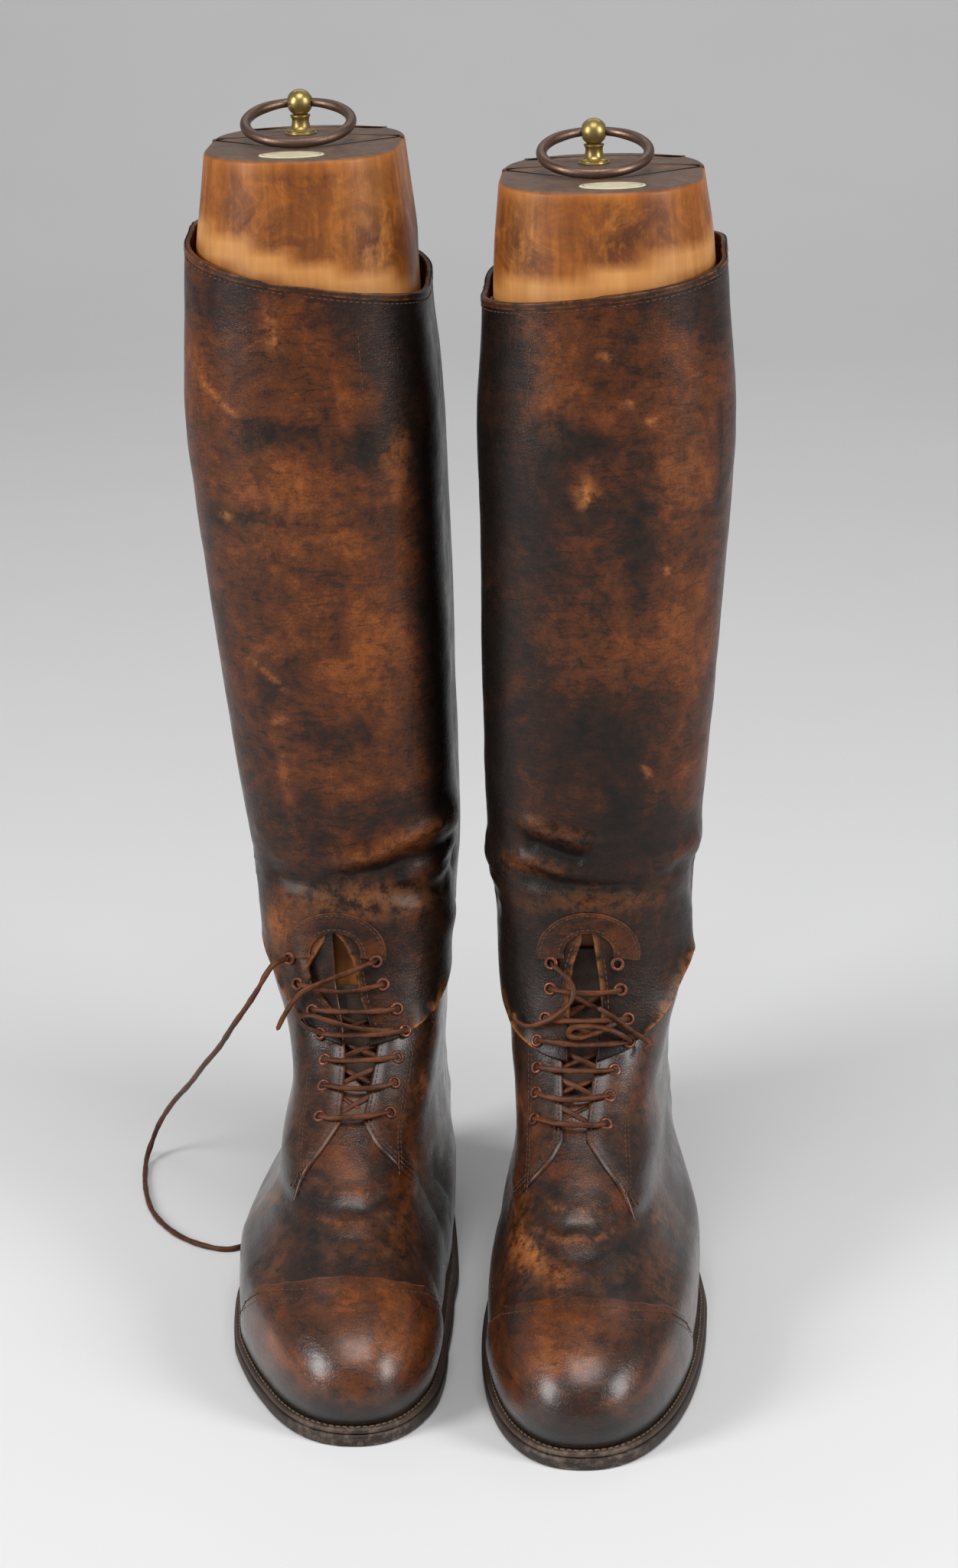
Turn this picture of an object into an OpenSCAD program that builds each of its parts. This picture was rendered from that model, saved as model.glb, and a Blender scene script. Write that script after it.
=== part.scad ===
// A pair of lace-up riding boots standing on wooden boot trees.
// Each boot is drawn as a right boot: toe towards -Y, inner side towards +X, floor at Z 0,
// with the leg's axis at X 0, Y 0. The left boot is its mirror image.

/* [Pair] */
// Distance between the two legs' axes
pair_pitch = 117.4; // [112:0.2:130]
// How far the left boot stands ahead of the right one
stagger = 20; // [0:1:40]

/* [Leather] */
// Thickness of the foot's leather
upper_t = 2; // [1.6:0.1:2.1]
// Thickness of the leg's leather
leg_t = 2.2; // [1.8:0.1:2.6]
// Mean height of the right leg's rim above the floor
right_rim = 496.5; // [485:0.5:500]
// Mean height of the left leg's rim
left_rim = 492.5; // [485:0.5:500]
// How far the right leg's rim rises on its outer side and drops on its inner side
right_slope = 14.5; // [0:0.5:15]
// The same for the left leg
left_slope = 9; // [0:0.5:15]

/* [Sole] */
// Thickness of the outsole
sole_t = 6; // [5:0.5:6]
// Width of the welt outside the upper, at the toe
welt_w = 8; // [5:0.5:9]
// Height of the whole heel
heel_h = 19; // [14:1:20]

/* [Lacing] */
// Outer radius of an eyelet's flange
eyelet_r = 3.5; // [3:0.1:4]
// Radius of the leather lace
lace_r = 1.3; // [1:0.1:1.4]

/* [Boot trees] */
// Top of the right boot's tree above the floor
right_top = 549.5; // [535:0.5:560]
// Top of the left boot's tree above the floor
left_top = 536; // [530:0.5:560]
// Thickness of the sliding centre board at its top
wedge_t = 29; // [24:1:30]

/* [Ring handle] */
// Radius of the ring, to the middle of its bar
ring_r = 24.6; // [20:0.2:26]
// Radius of the ring's bar
ring_bar_r = 2.1; // [1.6:0.1:2.3]
// Radius of the knob's ball
ball_r = 6.2; // [5.5:0.1:7]
// Height of the ball's centre above the tree
ball_h = 14.5; // [13:0.5:17]

/* [Hidden] */

depth_centre = 81.4;   // from the legs' mean axis to the middle of the pair's length
right_at = [-pair_pitch / 2, depth_centre + stagger / 2, 0];
left_at = [pair_pitch / 2, depth_centre - stagger / 2, 0];
gap = 0.5;             // air between layers of leather, which are facetted
bend = 0.87;           // power of the outlines' superellipses: 1 is an ellipse
seat = 9;              // height of the upper's lower edge above the floor, at the toe
lift_from = -78;       // the waist starts to rise here
lift_to = -6;          // and has reached the heel here
fade_z = 100;          // above this height the heel's rise no longer moves the outline
heel_front = -8;       // the heel begins here
top_lift_t = 6;        // thickness of the heel's top piece
shank_w = 14;
shank_y = [-62, 30];
nail_r = 1.1;
nail_at = [for (w = [-70 : 35 : 70]) [25 * sin(w), 26 + 24 * cos(w)], [-24, 8], [24, 8]];

// Layers outward from the lining: vamp, then quarters and toe cap, then the leg.
layer2 = upper_t + gap;
layer3 = 2 * layer2;
leg_out = layer3 + leg_t;
foot_edge = seat + 1.9; // lower edge of the outer layers, which stand on the welt

// Outlines of the lining at heights above the toe's seat:
// height, toe, ball line, heel line, back, half width at ball, at heel, centre at ball, at heel
levels = [
  [9, -229, -94, 30, 60, 45.5, 30, -3, 0],
  [20, -232, -94, 30, 61, 47.5, 32, -3, 0],
  [32, -228, -92, 30, 61, 47.5, 32.5, -3, 0],
  [42, -217, -88, 28, 60, 46, 32.5, -3, 0],
  [50, -200, -84, 26, 59, 41.5, 32.5, -1.2, 0],
  [57, -181, -79, 25, 58, 37.2, 32, -0.2, 0],
  [70, -151, -69, 23, 56, 32, 31.5, 1.8, 0],
  [86, -123, -56, 20, 53, 31, 31, 1, 0],
  [104, -93, -43, 17, 49, 30.5, 32, 2, 0],
  [126, -67, -31, 15, 46, 33.5, 34.5, 2, 0],
  [150, -55, -22, 14, 45, 38, 38.5, 0.5, 0],
  [175, -49, -15, 14, 46, 40, 40, 0, 0],
  [205, -47, -12, 14, 48, 42.5, 42.5, 0, 0],
  [250, -49, -12, 14, 53, 45.7, 45.7, -2.3, -2.3],
  [300, -52, -13, 15, 59, 48, 48, -5, -5],
  [350, -55, -13, 16, 63, 50.5, 50.5, -7.6, -7.6],
  [400, -58, -13, 16, 66, 52, 52, -10, -10],
  [435, -58.5, -13, 16, 66, 52, 52, -10.8, -10.8],
  [470, -57.5, -13, 16, 64, 49.7, 49.7, -11.2, -11.2],
  [505, -56, -13, 15, 61, 48, 48, -11, -11],
  [528, -55, -13, 14, 56, 45.3, 45.3, -10.5, -10.5],
  [560, -53, -13, 12, 49, 41.6, 41.6, -10, -10]];

// How far the foot's centre line bends towards the inner side: y, x. Set for each boot.
right_bend = [[-240, 15], [-200, 10], [-150, 1], [-100, -2], [-60, 1], [-20, 4], [20, 3], [60, 1]];
left_bend = [[-240, 5], [-150, 3.5], [-100, 3], [-60, 1.5], [-20, 1], [60, 0]];
bend_top = 160;        // the bend fades out up to this height
bend_fade = 60;

// Rows of eyelets: height, x of the inner one, x of the outer one. The right boot's slit stands open.
right_rows = [[162, 11, -25], [150, 13.5, -22], [138, 18, -17], [127, 20.5, -15], [117, 18.5, -13],
  [108, 18, -12], [98, 18, -11.5]];
left_rows = [[168, 16.5, -11], [155, 17, -12.5], [141, 18, -16], [130, 20.5, -17.5], [119, 20.5, -13],
  [110, 20, -11.5], [101, 20, -10.5]];
leg_rows = 4;          // the upper rows go through the leg's leather
// Edges of the lacing slit: height, u. The last height is the slit's top.
right_inner_edge = [[110, 0.12], [130, 0.1], [142, 0.05], [162, 0.01], [172, -0.03], [177, -0.09]];
right_outer_edge = [[110, -0.08], [130, -0.09], [141, -0.14], [150, -0.25], [159, -0.26], [172, -0.15],
  [177, -0.13]];
left_inner_edge = [[110, 0.12], [140, 0.12], [155, 0.12], [167, 0.1], [178, 0.05], [186, 0.03]];
left_outer_edge = [[110, -0.08], [140, -0.07], [160, -0.04], [172, -0.02], [186, 0]];
// Centre of the rounded tab round the slit's top: x, height
right_tab = [-6, 166];
left_tab = [1, 173];

ring_tilt = asin((ball_h - ring_bar_r - 0.1) / (2 * ring_r));
wedge_y = [12.3, 12.3 + wedge_t];
wedge_foot = 235;      // lower end of the sliding board
wedge_taper = 6;       // how much thinner the sliding board is at its foot
lean = atan(wedge_taper / (right_top - wedge_foot));
knob_y = (wedge_y[0] + wedge_y[1]) / 2;
right_knob_x = -15;
left_knob_x = -6;
right_label_x = -12;
left_label_x = -16;
screw_r = 2.5;

// Route of the free end of the right boot's lace, in the boot's own axes: from the top outer
// eyelet down through the air, then along the floor and back beside the waist
lace_end_route = [
  [-30.6, -56.2, 164.4], [-33.2, -61, 165.3], [-36.5, -65.6, 165], [-40, -69, 161], [-44, -69.5, 154],
  [-51, -63, 142],
  [-60, -52, 127], [-70, -33, 108], [-82, -10, 88], [-94, 17, 66], [-108, 45, 43], [-119, 63, 23],
  [-125, 68, 9], [-127, 60, 3], [-126, 48, 1.4], [-124, 34, 1.4], [-120, 16, 1.4], [-114, -2, 1.4],
  [-105, -18, 1.4], [-94, -31, 1.4], [-81, -40, 1.4], [-70, -43, 1.4], [-62, -38, 1.4], [-58, -27, 1.4],
  [-56, -14, 1.4], [-54, 0, 1.4], [-52, 14, 1.4]];

// ---- the boot's surface ----

function mix(a, b, t) = a + (b - a) * t;
function smooth(t) = t <= 0 ? 0 : t >= 1 ? 1 : t * t * (3 - 2 * t);
function find_row(z, i = 0) = i >= len(levels) - 2 || z < levels[i + 1][0] ? i : find_row(z, i + 1);
function slope(i) =
  let (a = max(i - 1, 0), b = min(i + 1, len(levels) - 1))
  (levels[b] - levels[a]) / (levels[b][0] - levels[a][0]);

// One outline, smoothly between the rows of the table
function outline_at(z) =
  let (
    i = find_row(z),
    h = levels[i + 1][0] - levels[i][0],
    t = (z - levels[i][0]) / h)
  levels[i] * (1 - 3 * t * t + 2 * t * t * t) + levels[i + 1] * (3 * t * t - 2 * t * t * t)
  + slope(i) * h * (t - 2 * t * t + t * t * t) + slope(i + 1) * h * (t * t * t - t * t);

function lift(y) = heel_h * smooth((y - lift_from) / (lift_to - lift_from));

// A point of the lining. u goes round it: 0 is the front ridge, 1 the ball line, 2 the heel line
// and 3 the back, positive on the inner side and negative on the outer side.
function lining(u, z) =
  let (
    o = outline_at(z),
    a = abs(u),
    s = u < 0 ? -1 : 1,
    m = smooth(a - 1),
    y = a <= 1 ? mix(o[2], o[1], pow(cos(90 * a), bend))
      : a <= 2 ? mix(o[2], o[3], a - 1)
      : mix(o[3], o[4], pow(sin(90 * (a - 2)), bend)),
    x = a <= 1 ? o[7] + s * o[5] * pow(sin(90 * a), bend)
      : a <= 2 ? mix(o[7], o[8], m) + s * mix(o[5], o[6], m)
      : o[8] + s * o[6] * pow(cos(90 * (a - 2)), bend))
  [x + lookup(y, $bend) * smooth((bend_top - z) / bend_fade), y,
    z + lift(y) * max(0, (fade_z - z) / (fade_z - seat))];

function unit(v) = v / norm(v);
function normal(u, z) =
  let (
    s = u < 0 ? -1 : 1,
    step = abs(u) > 1.5 ? -0.02 : 0.02,
    p = lining(u, z),
    around = (lining(u + s * step, z) - p) / step,
    up = lining(u, z + 1) - p)
  s * unit(cross(around, up));

// A point at distance d outside the lining
function skin(u, z, d) = lining(u, z) + d * normal(u, z);

// u of the point at distance x from the centre line, on the front
function u_at(x, z) = (x < 0 ? -1 : 1) * asin(pow(abs(x) / outline_at(z)[5], 1 / bend)) / 90;

// Height between listed points of [u, height]
function edge(list, u) = lookup(abs(u), list);

// ---- builders ----

// A piece of leather between two distances from the lining. place(a, b) gives [u, z] for
// a and b from 0 to 1, with u rising. The first open_rows rows have two free ends. In the rows
// above them the last column joins the first, so the piece closes round the boot.
module leather(place, na, nb, d0, d1, open_rows = 1000) {
  grid = [for (d = [d1, d0], i = [0 : na], j = [0 : nb])
    let (uz = place(i / na, j / nb))
    skin(uz[0], uz[1], d)];
  open = min(open_rows, nb);
  cols = na + 1;
  function at(k, i, j) = (k * cols + i % cols) * (nb + 1) + j;
  cells = [for (i = [0 : na], j = [0 : nb - 1]) if (i < na || j >= open) [i, j]];
  outside = [for (c = cells)
    [at(0, c[0], c[1]), at(0, c[0], c[1] + 1), at(0, c[0] + 1, c[1] + 1), at(0, c[0] + 1, c[1])]];
  inside = [for (c = cells)
    [at(1, c[0], c[1]), at(1, c[0] + 1, c[1]), at(1, c[0] + 1, c[1] + 1), at(1, c[0], c[1] + 1)]];
  last = open < nb ? na : na - 1;
  low = [for (i = [0 : last])
    let (j = i < na ? 0 : open)
    [at(0, i, j), at(0, i + 1, j), at(1, i + 1, j), at(1, i, j)]];
  high = [for (i = [0 : last]) [at(0, i + 1, nb), at(0, i, nb), at(1, i, nb), at(1, i + 1, nb)]];
  ends = open == 0 ? [] : [for (j = [0 : open - 1]) each [
    [at(0, 0, j + 1), at(0, 0, j), at(1, 0, j), at(1, 0, j + 1)],
    [at(0, na, j), at(0, na, j + 1), at(1, na, j + 1), at(1, na, j)]]];
  polyhedron(points = grid, faces = halves(concat(outside, inside, low, high, ends), grid));
}

// u on the way round the back, from v below 3 on the inner side to v above 3 on the outer side
function wrap(v) = v <= 3 ? v : v - 6;

// Each four-cornered face as two triangles, cut along its shorter diagonal
function halves(faces, points) = [for (f = faces)
  each norm(points[f[0]] - points[f[2]]) <= norm(points[f[1]] - points[f[3]])
    ? [[f[0], f[1], f[2]], [f[0], f[2], f[3]]]
    : [[f[0], f[1], f[3]], [f[1], f[2], f[3]]]];

// A solid whose rings lie at the given heights, at distance off(z) from the lining, flat on top
module wood(heights, off, sides) {
  rings = [for (z = heights, i = [0 : sides - 1])
    let (p = skin(wrap(6 * i / sides), z, off(z)))
    z == heights[len(heights) - 1] ? [p[0], p[1], z] : p];
  top = len(heights) - 1;
  count = len(heights) * sides;
  foot_mid = [0, 0, rings[sides / 2][2]];
  head_mid = [0, 0, rings[top * sides][2]];
  function at(i, j) = j * sides + (i % sides);
  walls = [for (j = [0 : top - 1], i = [0 : sides - 1])
    [at(i, j), at(i, j + 1), at(i + 1, j + 1), at(i + 1, j)]];
  foot_face = [for (i = [0 : sides - 1]) [at(i, 0), at(i + 1, 0), count]];
  head_face = [for (i = [0 : sides - 1]) [at(i + 1, top), at(i, top), count + 1]];
  polyhedron(
    points = concat(rings, [foot_mid, head_mid]),
    faces = concat(halves(walls, rings), foot_face, head_face));
}

// A round bar along points, as one solid
module bar(points, r, sides = 8) {
  n = len(points);
  function along(i) = unit(points[min(i + 1, n - 1)] - points[max(i - 1, 0)]);
  function side_of(t) = unit(cross(t, abs(t[2]) > 0.9 ? [1, 0, 0] : [0, 0, 1]));
  rings = [for (i = [0 : n - 1], k = [0 : sides - 1])
    let (t = along(i), e = side_of(t), f = cross(t, e), w = 360 * k / sides)
    points[i] + r * (e * cos(w) + f * sin(w))];
  walls = [for (i = [0 : n - 2], k = [0 : sides - 1])
    let (m = (k + 1) % sides)
    [i * sides + k, (i + 1) * sides + k, (i + 1) * sides + m, i * sides + m]];
  start = [for (k = [0 : sides - 1]) k];
  finish = [for (k = [sides - 1 : -1 : 0]) (n - 1) * sides + k];
  polyhedron(points = rings, faces = concat(halves(walls, rings), [start, finish]));
}

// The sole's outline, wider than the lining by front at the toe and rear at the heel
module sole_shape(front, rear) {
  sides = 52;
  polygon([for (i = [0 : sides - 1])
    let (
      u = -3 + 6 * i / sides,
      p = lining(u, seat),
      n = unit([normal(u, seat + 12)[0], normal(u, seat + 12)[1]]),
      d = mix(front, rear, smooth(abs(u) - 0.9)))
    [p[0] + d * n[0], p[1] + d * n[1]]]);
}

// A slab that follows the sole's side view between two heights at the toe
module sole_layer(front, rear, z0, z1) {
  stations = [for (i = [0 : 10]) mix(lift_from, lift_to, i / 10)];
  far = 300;
  low = [for (y = stations) [y, z0 + lift(y)]];
  high = [for (i = [10 : -1 : 0]) [stations[i], z1 + lift(stations[i])]];
  side_view = concat([[-far, z0]], low, [[far, z0 + heel_h], [far, z1 + heel_h]], high, [[-far, z1]]);
  intersection() {
    linear_extrude(height = 80) sole_shape(front, rear);
    rotate([90, 0, 90]) linear_extrude(height = 200, center = true) polygon(side_view);
  }
}

// A slab of the heel, with its front cut hollow
module heel_layer(rim, z0, z1) {
  hollow_r = 60;
  translate([0, 0, z0]) difference() {
    linear_extrude(height = z1 - z0) sole_shape(welt_w, rim);
    translate([-100, -300, -1]) cube([200, 300 + heel_front, 40]);
    translate([0, heel_front - hollow_r + 3, -1]) cylinder(h = 40, r = hollow_r, $fn = 96);
  }
}

// ---- bottom of the boot ----

module outsole() {
  color("#2b2019") sole_layer(welt_w, 3, 0, sole_t);
}

module welt() {
  color("#3a281c") difference() {
    sole_layer(welt_w - 0.6, 2.6, sole_t + 0.05, seat - 0.05);
    linear_extrude(height = 80) sole_shape(-5, -5);
  }
}

module shank_slot(play) {
  translate([-shank_w / 2 - play, shank_y[0] - play, 0])
    cube([shank_w + 2 * play, shank_y[1] - shank_y[0] + 2 * play, 60]);
}

module filler() {
  color("#a07a50") difference() {
    sole_layer(-5.3, -5.3, sole_t + 0.05, seat - 0.1);
    shank_slot(0.3);
  }
}

module shank() {
  color("#70757a") intersection() {
    sole_layer(-5.3, -5.3, sole_t + 0.6, seat - 0.6);
    shank_slot(0);
  }
}

module insole() {
  color("#8a5f3a") sole_layer(-1, -1, seat + 0.1, seat + 2.4);
}

module heel_stack() {
  color("#2f221a") {
    lifts = 3;
    lift_h = (heel_h - top_lift_t) / lifts;
    for (i = [0 : lifts - 1]) {
      z0 = top_lift_t + i * lift_h;
      heel_layer(2.2 - 0.25 * (lifts - i), z0 + 0.05, z0 + lift_h - 0.15);
    }
  }
}

module top_lift() {
  color("#241b15") difference() {
    heel_layer(1.2, 0, top_lift_t - 0.05);
    for (p = nail_at) translate([p[0], p[1], -1]) cylinder(h = 5, r = nail_r + 0.05, $fn = 24);
  }
}

module heel_nails() {
  color("#8b8178") for (p = nail_at)
    translate([p[0], p[1], 0.3]) cylinder(h = 3.4, r = nail_r, $fn = 24);
}

// ---- upper ----

vamp_top = [[0, 112], [0.2, 105], [0.4, 94], [0.62, 82], [0.85, 71], [1, 60], [1.12, 47], [1.25, 32]];
module vamp() {
  color("#5b2f1c") leather(
    function (a, b) let (u = mix(-1.24, 1.24, a)) [u, mix(seat + 0.8, edge(vamp_top, u), b)],
    32, 13, 0, upper_t);
}

cap_top = [[0, 56.5], [0.2, 55], [0.4, 51], [0.55, 46], [0.65, 39], [0.7, 32.5], [0.74, 23]];
module toe_cap() {
  color("#6a3216") leather(
    function (a, b) let (u = mix(-0.74, 0.74, a)) [u, mix(foot_edge, edge(cap_top, u), b)],
    26, 9, layer2, layer2 + upper_t);
}

// Front edges of the quarters: height, u
outer_front = [[9, 1.1], [30, 1], [50, 0.85], [65, 0.62], [80, 0.4], [90, 0.2], [97, 0.08], [125, 0.12],
  [150, 0.15], [186, 0.15]];
inner_front = [[9, 1.15], [30, 1.1], [50, 0.98], [65, 0.76], [80, 0.44], [90, 0.2], [97, 0.08], [125, 0.12],
  [150, 0.15], [186, 0.15]];
rim_back = 2.2;         // how far the rim rises at the back and drops at the front
front_shift = 0.05;    // the lacing's middle, as u, lies towards the inner side

module quarter(side) {
  color("#532b1b") leather(
    function (a, b) let (
      z = mix(foot_edge, 186, b),
      front = lookup(z, side > 0 ? inner_front : outer_front) + side * front_shift,
      u = mix(front, 2.97, side > 0 ? a : 1 - a))
      [side * u, z],
    20, 17, layer2 + 0.6, layer2 + upper_t - 0.05);
}

module counter() {
  color("#9a7a55") leather(
    function (a, b) let (v = mix(1.75, 4.25, a)) [wrap(v), mix(13, 66 - 16 * abs(v - 3), b)],
    14, 4, 0.2, upper_t - 0.1);
}

// A strip up the back of the boot, half u wide on each side
module back_strip(half, z0, z1, rows, d0, d1) {
  leather(
    function (a, b) [wrap(mix(3 - half, 3 + half, a)), mix(z0, z1, b)],
    4, rows, d0, d1);
}

module backstay() {
  color("#4a2718") back_strip(0.18, seat + 2, 162, 8, layer3, layer3 + 1.8);
}

module tongue() {
  color("#3d2216") leather(
    function (a, b) let (z = mix(92, 176, b)) [mix(-1, 1, a) * mix(0.42, 0.55, b), z],
    8, 6, -2.9, -0.7);
}

leg_edge = [[0, 122], [0.3, 125], [0.6, 133], [0.9, 146], [1.2, 158], [1.5, 165], [2, 168], [3, 170]];
function rim(u) = $rim_h - $slope * sin(60 * u) - rim_back * cos(60 * u);
module leg(inner_edge, outer_edge) {
  slit_rows = 5;
  rows = 18;
  slit_top = inner_edge[len(inner_edge) - 1][0];
  color("#5a2f1d") leather(
    function (a, b) let (
      low = b * rows <= slit_rows,
      turn = lookup(a, [[0, 0.05], [3 / 38, 0.42], [0.5, 3], [35 / 38, 5.58], [1, 5.95]]),
      z = low
        ? mix(edge(leg_edge, wrap(turn)), slit_top, b * rows / slit_rows)
        : mix(slit_top, rim(wrap(turn)), (b * rows - slit_rows) / (rows - slit_rows)),
      v = lookup(a, [[0, lookup(z, inner_edge)], [3 / 38, 0.42], [0.5, 3], [35 / 38, 5.58],
        [1, 6 + lookup(z, outer_edge)]]))
      [wrap(v), z],
    38, rows, layer3, leg_out, open_rows = slit_rows);
}

module leg_strap() {
  color("#4a2718") back_strip(0.14, 180, rim(3) - 9, 10, leg_out + gap, leg_out + 1.6);
}

module binding() {
  band = 6;
  color("#3b2117") leather(
    function (a, b) let (v = mix(0.08, 5.92, a)) [wrap(v), mix(rim(wrap(v)) - band, rim(wrap(v)) - 0.3, b)],
    36, 1, leg_out + gap, leg_out + 1.1, open_rows = 0);
}

module slit_tab(centre) {
  color("#4f2a1a") leather(
    function (a, b) let (
      w = mix(190, -10, a),
      r = mix(11.5, 21.5, b),
      z = centre[1] + r * sin(w),
      x = centre[0] + r * cos(w))
      [u_at(x, z), z],
    16, 2, leg_out + gap, leg_out + 1.1);
}

module pull_loops() {
  color("#b49a72") for (side = [-1, 1])
    leather(
      function (a, b) [side * (side > 0 ? mix(1.32, 1.68, a) : mix(1.68, 1.32, a)), mix(436, 478, b)],
      2, 4, layer3 - 1.3, layer3 - gap);
}

// ---- lacing ----

function row_skin(i) = i < leg_rows ? leg_out : layer2 + upper_t;
module eyelets(rows) {
  color("#9a5a34") for (i = [0 : len(rows) - 1], side = [1, 2]) {
    z = rows[i][0];
    u = u_at(rows[i][side], z);
    n = normal(u, z);
    over_tab = i == 0 ? 1.2 : 0;
    translate(skin(u, z, row_skin(i) + over_tab + 0.5))
      rotate([0, acos(n[2]), atan2(n[1], n[0])])
      rotate_extrude($fn = 48) translate([1.9, 0]) square([eyelet_r - 1.9, 0.7]);
  }
}

function lace_point(x, z, over) = skin(u_at(x, z), z, over);
module lace(rows) {
  steps = 8;
  color("#5a2c1a") for (i = [1 : len(rows) - 1]) {
    over = row_skin(i) + 1.6 + lace_r;
    bar([for (k = [0 : steps]) lace_point(mix(rows[i][2], rows[i][1], k / steps) + 0.01, rows[i][0], over)],
      lace_r);
  }
}

module lace_end() {
  color("#4e2618") bar(lace_end_route, lace_r);
}

// ---- boot tree ----

function tree_off(z) = mix(-4.4, 2.2, smooth((z - 200) / 90));
module tree_foot() {
  color("#c08a4c") intersection() {
    wood([15.3, 20, 32, 44, 54, 64, 76, 86], function (z) -3.4, 28);
    translate([-100, -300, 0]) cube([200, 292, 200]);
  }
}

shin_heights = [110, 130, 160, 200, 250, 300, 350, 400, 435, 470, 505, 525];
module tree_body(top, from) {
  wood(concat([for (z = shin_heights) if (z >= from) z], [top]), function (z) tree_off(z), 28);
}

// A shaft with the outline of the leg's rim, leaning back by tip degrees from the rim's level
module rim_shaft(tip) {
  rim_z = 505;
  sides = 40;
  outline = [for (i = [0 : sides - 1])
    let (p = skin(wrap(6 * i / sides), rim_z, tree_off(rim_z)))
    [p[0], p[1]]];
  translate([0, 0, rim_z]) rotate([-tip, 0, 0]) translate([0, 0, -350])
    linear_extrude(height = 450) polygon(outline);
}

module tree_shin(top) {
  color("#c98f4e") intersection() {
    tree_body(top, 110);
    translate([-100, -100, 95]) cube([200, 100 + wedge_y[0] - 0.3, 500]);
  }
}

// Everything behind the sliding board's rear face, which leans back
module behind_wedge(top, play) {
  translate([-100, wedge_y[1] + play, top]) rotate([-lean, 0, 0])
    translate([0, 0, -400]) cube([200, 150, 500]);
}

module tree_calf(top) {
  color("#bd8345") intersection() {
    tree_body(top, 200);
    behind_wedge(top, 0.3);
    rim_shaft(lean);
    translate([-100, 0, wedge_foot]) cube([200, 100, 500]);
  }
}

module tree_wedge(top) {
  color("#b98145") difference() {
    intersection() {
      tree_body(top, 200);
      rim_shaft(0);
      translate([-100, wedge_y[0], wedge_foot]) cube([200, 100, 500]);
    }
    behind_wedge(top, 0);
    translate([$knob_x, knob_y, top - 20]) cylinder(h = 30, r = screw_r + 0.05, $fn = 48);
  }
}

// ---- ring handle ----

module knob(top) {
  flange_r = 7.6;
  neck_r = 3.6;
  profile = [[0, 0.05], [flange_r, 0.05], [flange_r, 1.1], [6.2, 2], [4.6, 2.8], [neck_r, 4.6],
    [neck_r, 8], [4.3, 9.4], [0, 9.4]];
  color("#b08d3e") translate([$knob_x, knob_y, top]) difference() {
    union() {
      rotate_extrude($fn = 64) polygon(profile);
      translate([0, 0, ball_h]) sphere(r = ball_r, $fn = 64);
    }
    translate([-20, 0, ball_h]) rotate([0, 90, 0]) cylinder(h = 40, r = ring_bar_r + 0.9, $fn = 48);
    translate([0, 0, -1]) cylinder(h = 8, r = screw_r + 0.05, $fn = 48);
  }
}

module knob_screw(top) {
  color("#8f8a80") translate([$knob_x, knob_y, top - 19.5]) cylinder(h = 26, r = screw_r, $fn = 48);
}

module ring(top) {
  color("#6e4a3a") translate([$knob_x, knob_y, top + ball_h])
    rotate([ring_tilt, 0, 0]) translate([0, -ring_r, 0])
    rotate_extrude($fn = 96) translate([ring_r, 0]) circle(r = ring_bar_r, $fn = 32);
}

module label(top) {
  long_r = 15;
  short_r = 8.5;
  color("#e8e0c4") translate([$label_x, -41, top + 0.05]) linear_extrude(height = 0.7)
    polygon([for (w = [0 : 10 : 350]) [long_r * cos(w), short_r * sin(w)]]);
}

// ---- the pair ----

module right() {
  $bend = right_bend;
  $rim_h = right_rim;
  $slope = right_slope;
  $knob_x = right_knob_x;
  $label_x = right_label_x;
  translate(right_at) children();
}

module left() {
  $bend = left_bend;
  $rim_h = left_rim;
  $slope = left_slope;
  $knob_x = left_knob_x;
  $label_x = left_label_x;
  translate(left_at) mirror([1, 0, 0]) children();
}

right() outsole();  // right_outsole
right() welt();  // right_welt
right() insole();  // right_insole
right() filler();  // right_filler
right() shank();  // right_shank
right() heel_stack();  // right_heel_stack
right() top_lift();  // right_top_lift
right() heel_nails();  // right_heel_nails
right() vamp();  // right_vamp
right() toe_cap();  // right_toe_cap
right() quarter(-1);  // right_outer_quarter
right() quarter(1);  // right_inner_quarter
right() counter();  // right_counter
right() backstay();  // right_backstay
right() tongue();  // right_tongue
right() leg(right_inner_edge, right_outer_edge);  // right_leg
right() leg_strap();  // right_leg_strap
right() binding();  // right_binding
right() slit_tab(right_tab);  // right_slit_tab
right() pull_loops();  // right_pull_loops
right() eyelets(right_rows);  // right_eyelets
right() lace(right_rows);  // right_lace
right() tree_foot();  // right_tree_foot
right() tree_shin(right_top);  // right_tree_shin
right() tree_calf(right_top);  // right_tree_calf
right() tree_wedge(right_top);  // right_tree_wedge
right() knob(right_top);  // right_knob
right() knob_screw(right_top);  // right_knob_screw
right() ring(right_top);  // right_ring
right() label(right_top);  // right_label
left() outsole();  // left_outsole
left() welt();  // left_welt
left() insole();  // left_insole
left() shank();  // left_shank
left() heel_stack();  // left_heel_stack
left() top_lift();  // left_top_lift
left() heel_nails();  // left_heel_nails
left() vamp();  // left_vamp
left() toe_cap();  // left_toe_cap
left() quarter(-1);  // left_outer_quarter
left() quarter(1);  // left_inner_quarter
left() counter();  // left_counter
left() backstay();  // left_backstay
left() tongue();  // left_tongue
left() leg(left_inner_edge, left_outer_edge);  // left_leg
left() leg_strap();  // left_leg_strap
left() binding();  // left_binding
left() slit_tab(left_tab);  // left_slit_tab
left() pull_loops();  // left_pull_loops
left() eyelets(left_rows);  // left_eyelets
left() lace(left_rows);  // left_lace
left() tree_foot();  // left_tree_foot
left() tree_shin(left_top);  // left_tree_shin
left() tree_calf(left_top);  // left_tree_calf
left() tree_wedge(left_top);  // left_tree_wedge
left() knob(left_top);  // left_knob
left() knob_screw(left_top);  // left_knob_screw
left() ring(left_top);  // left_ring
left() label(left_top);  // left_label
right() lace_end();  // right_lace_end
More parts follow.
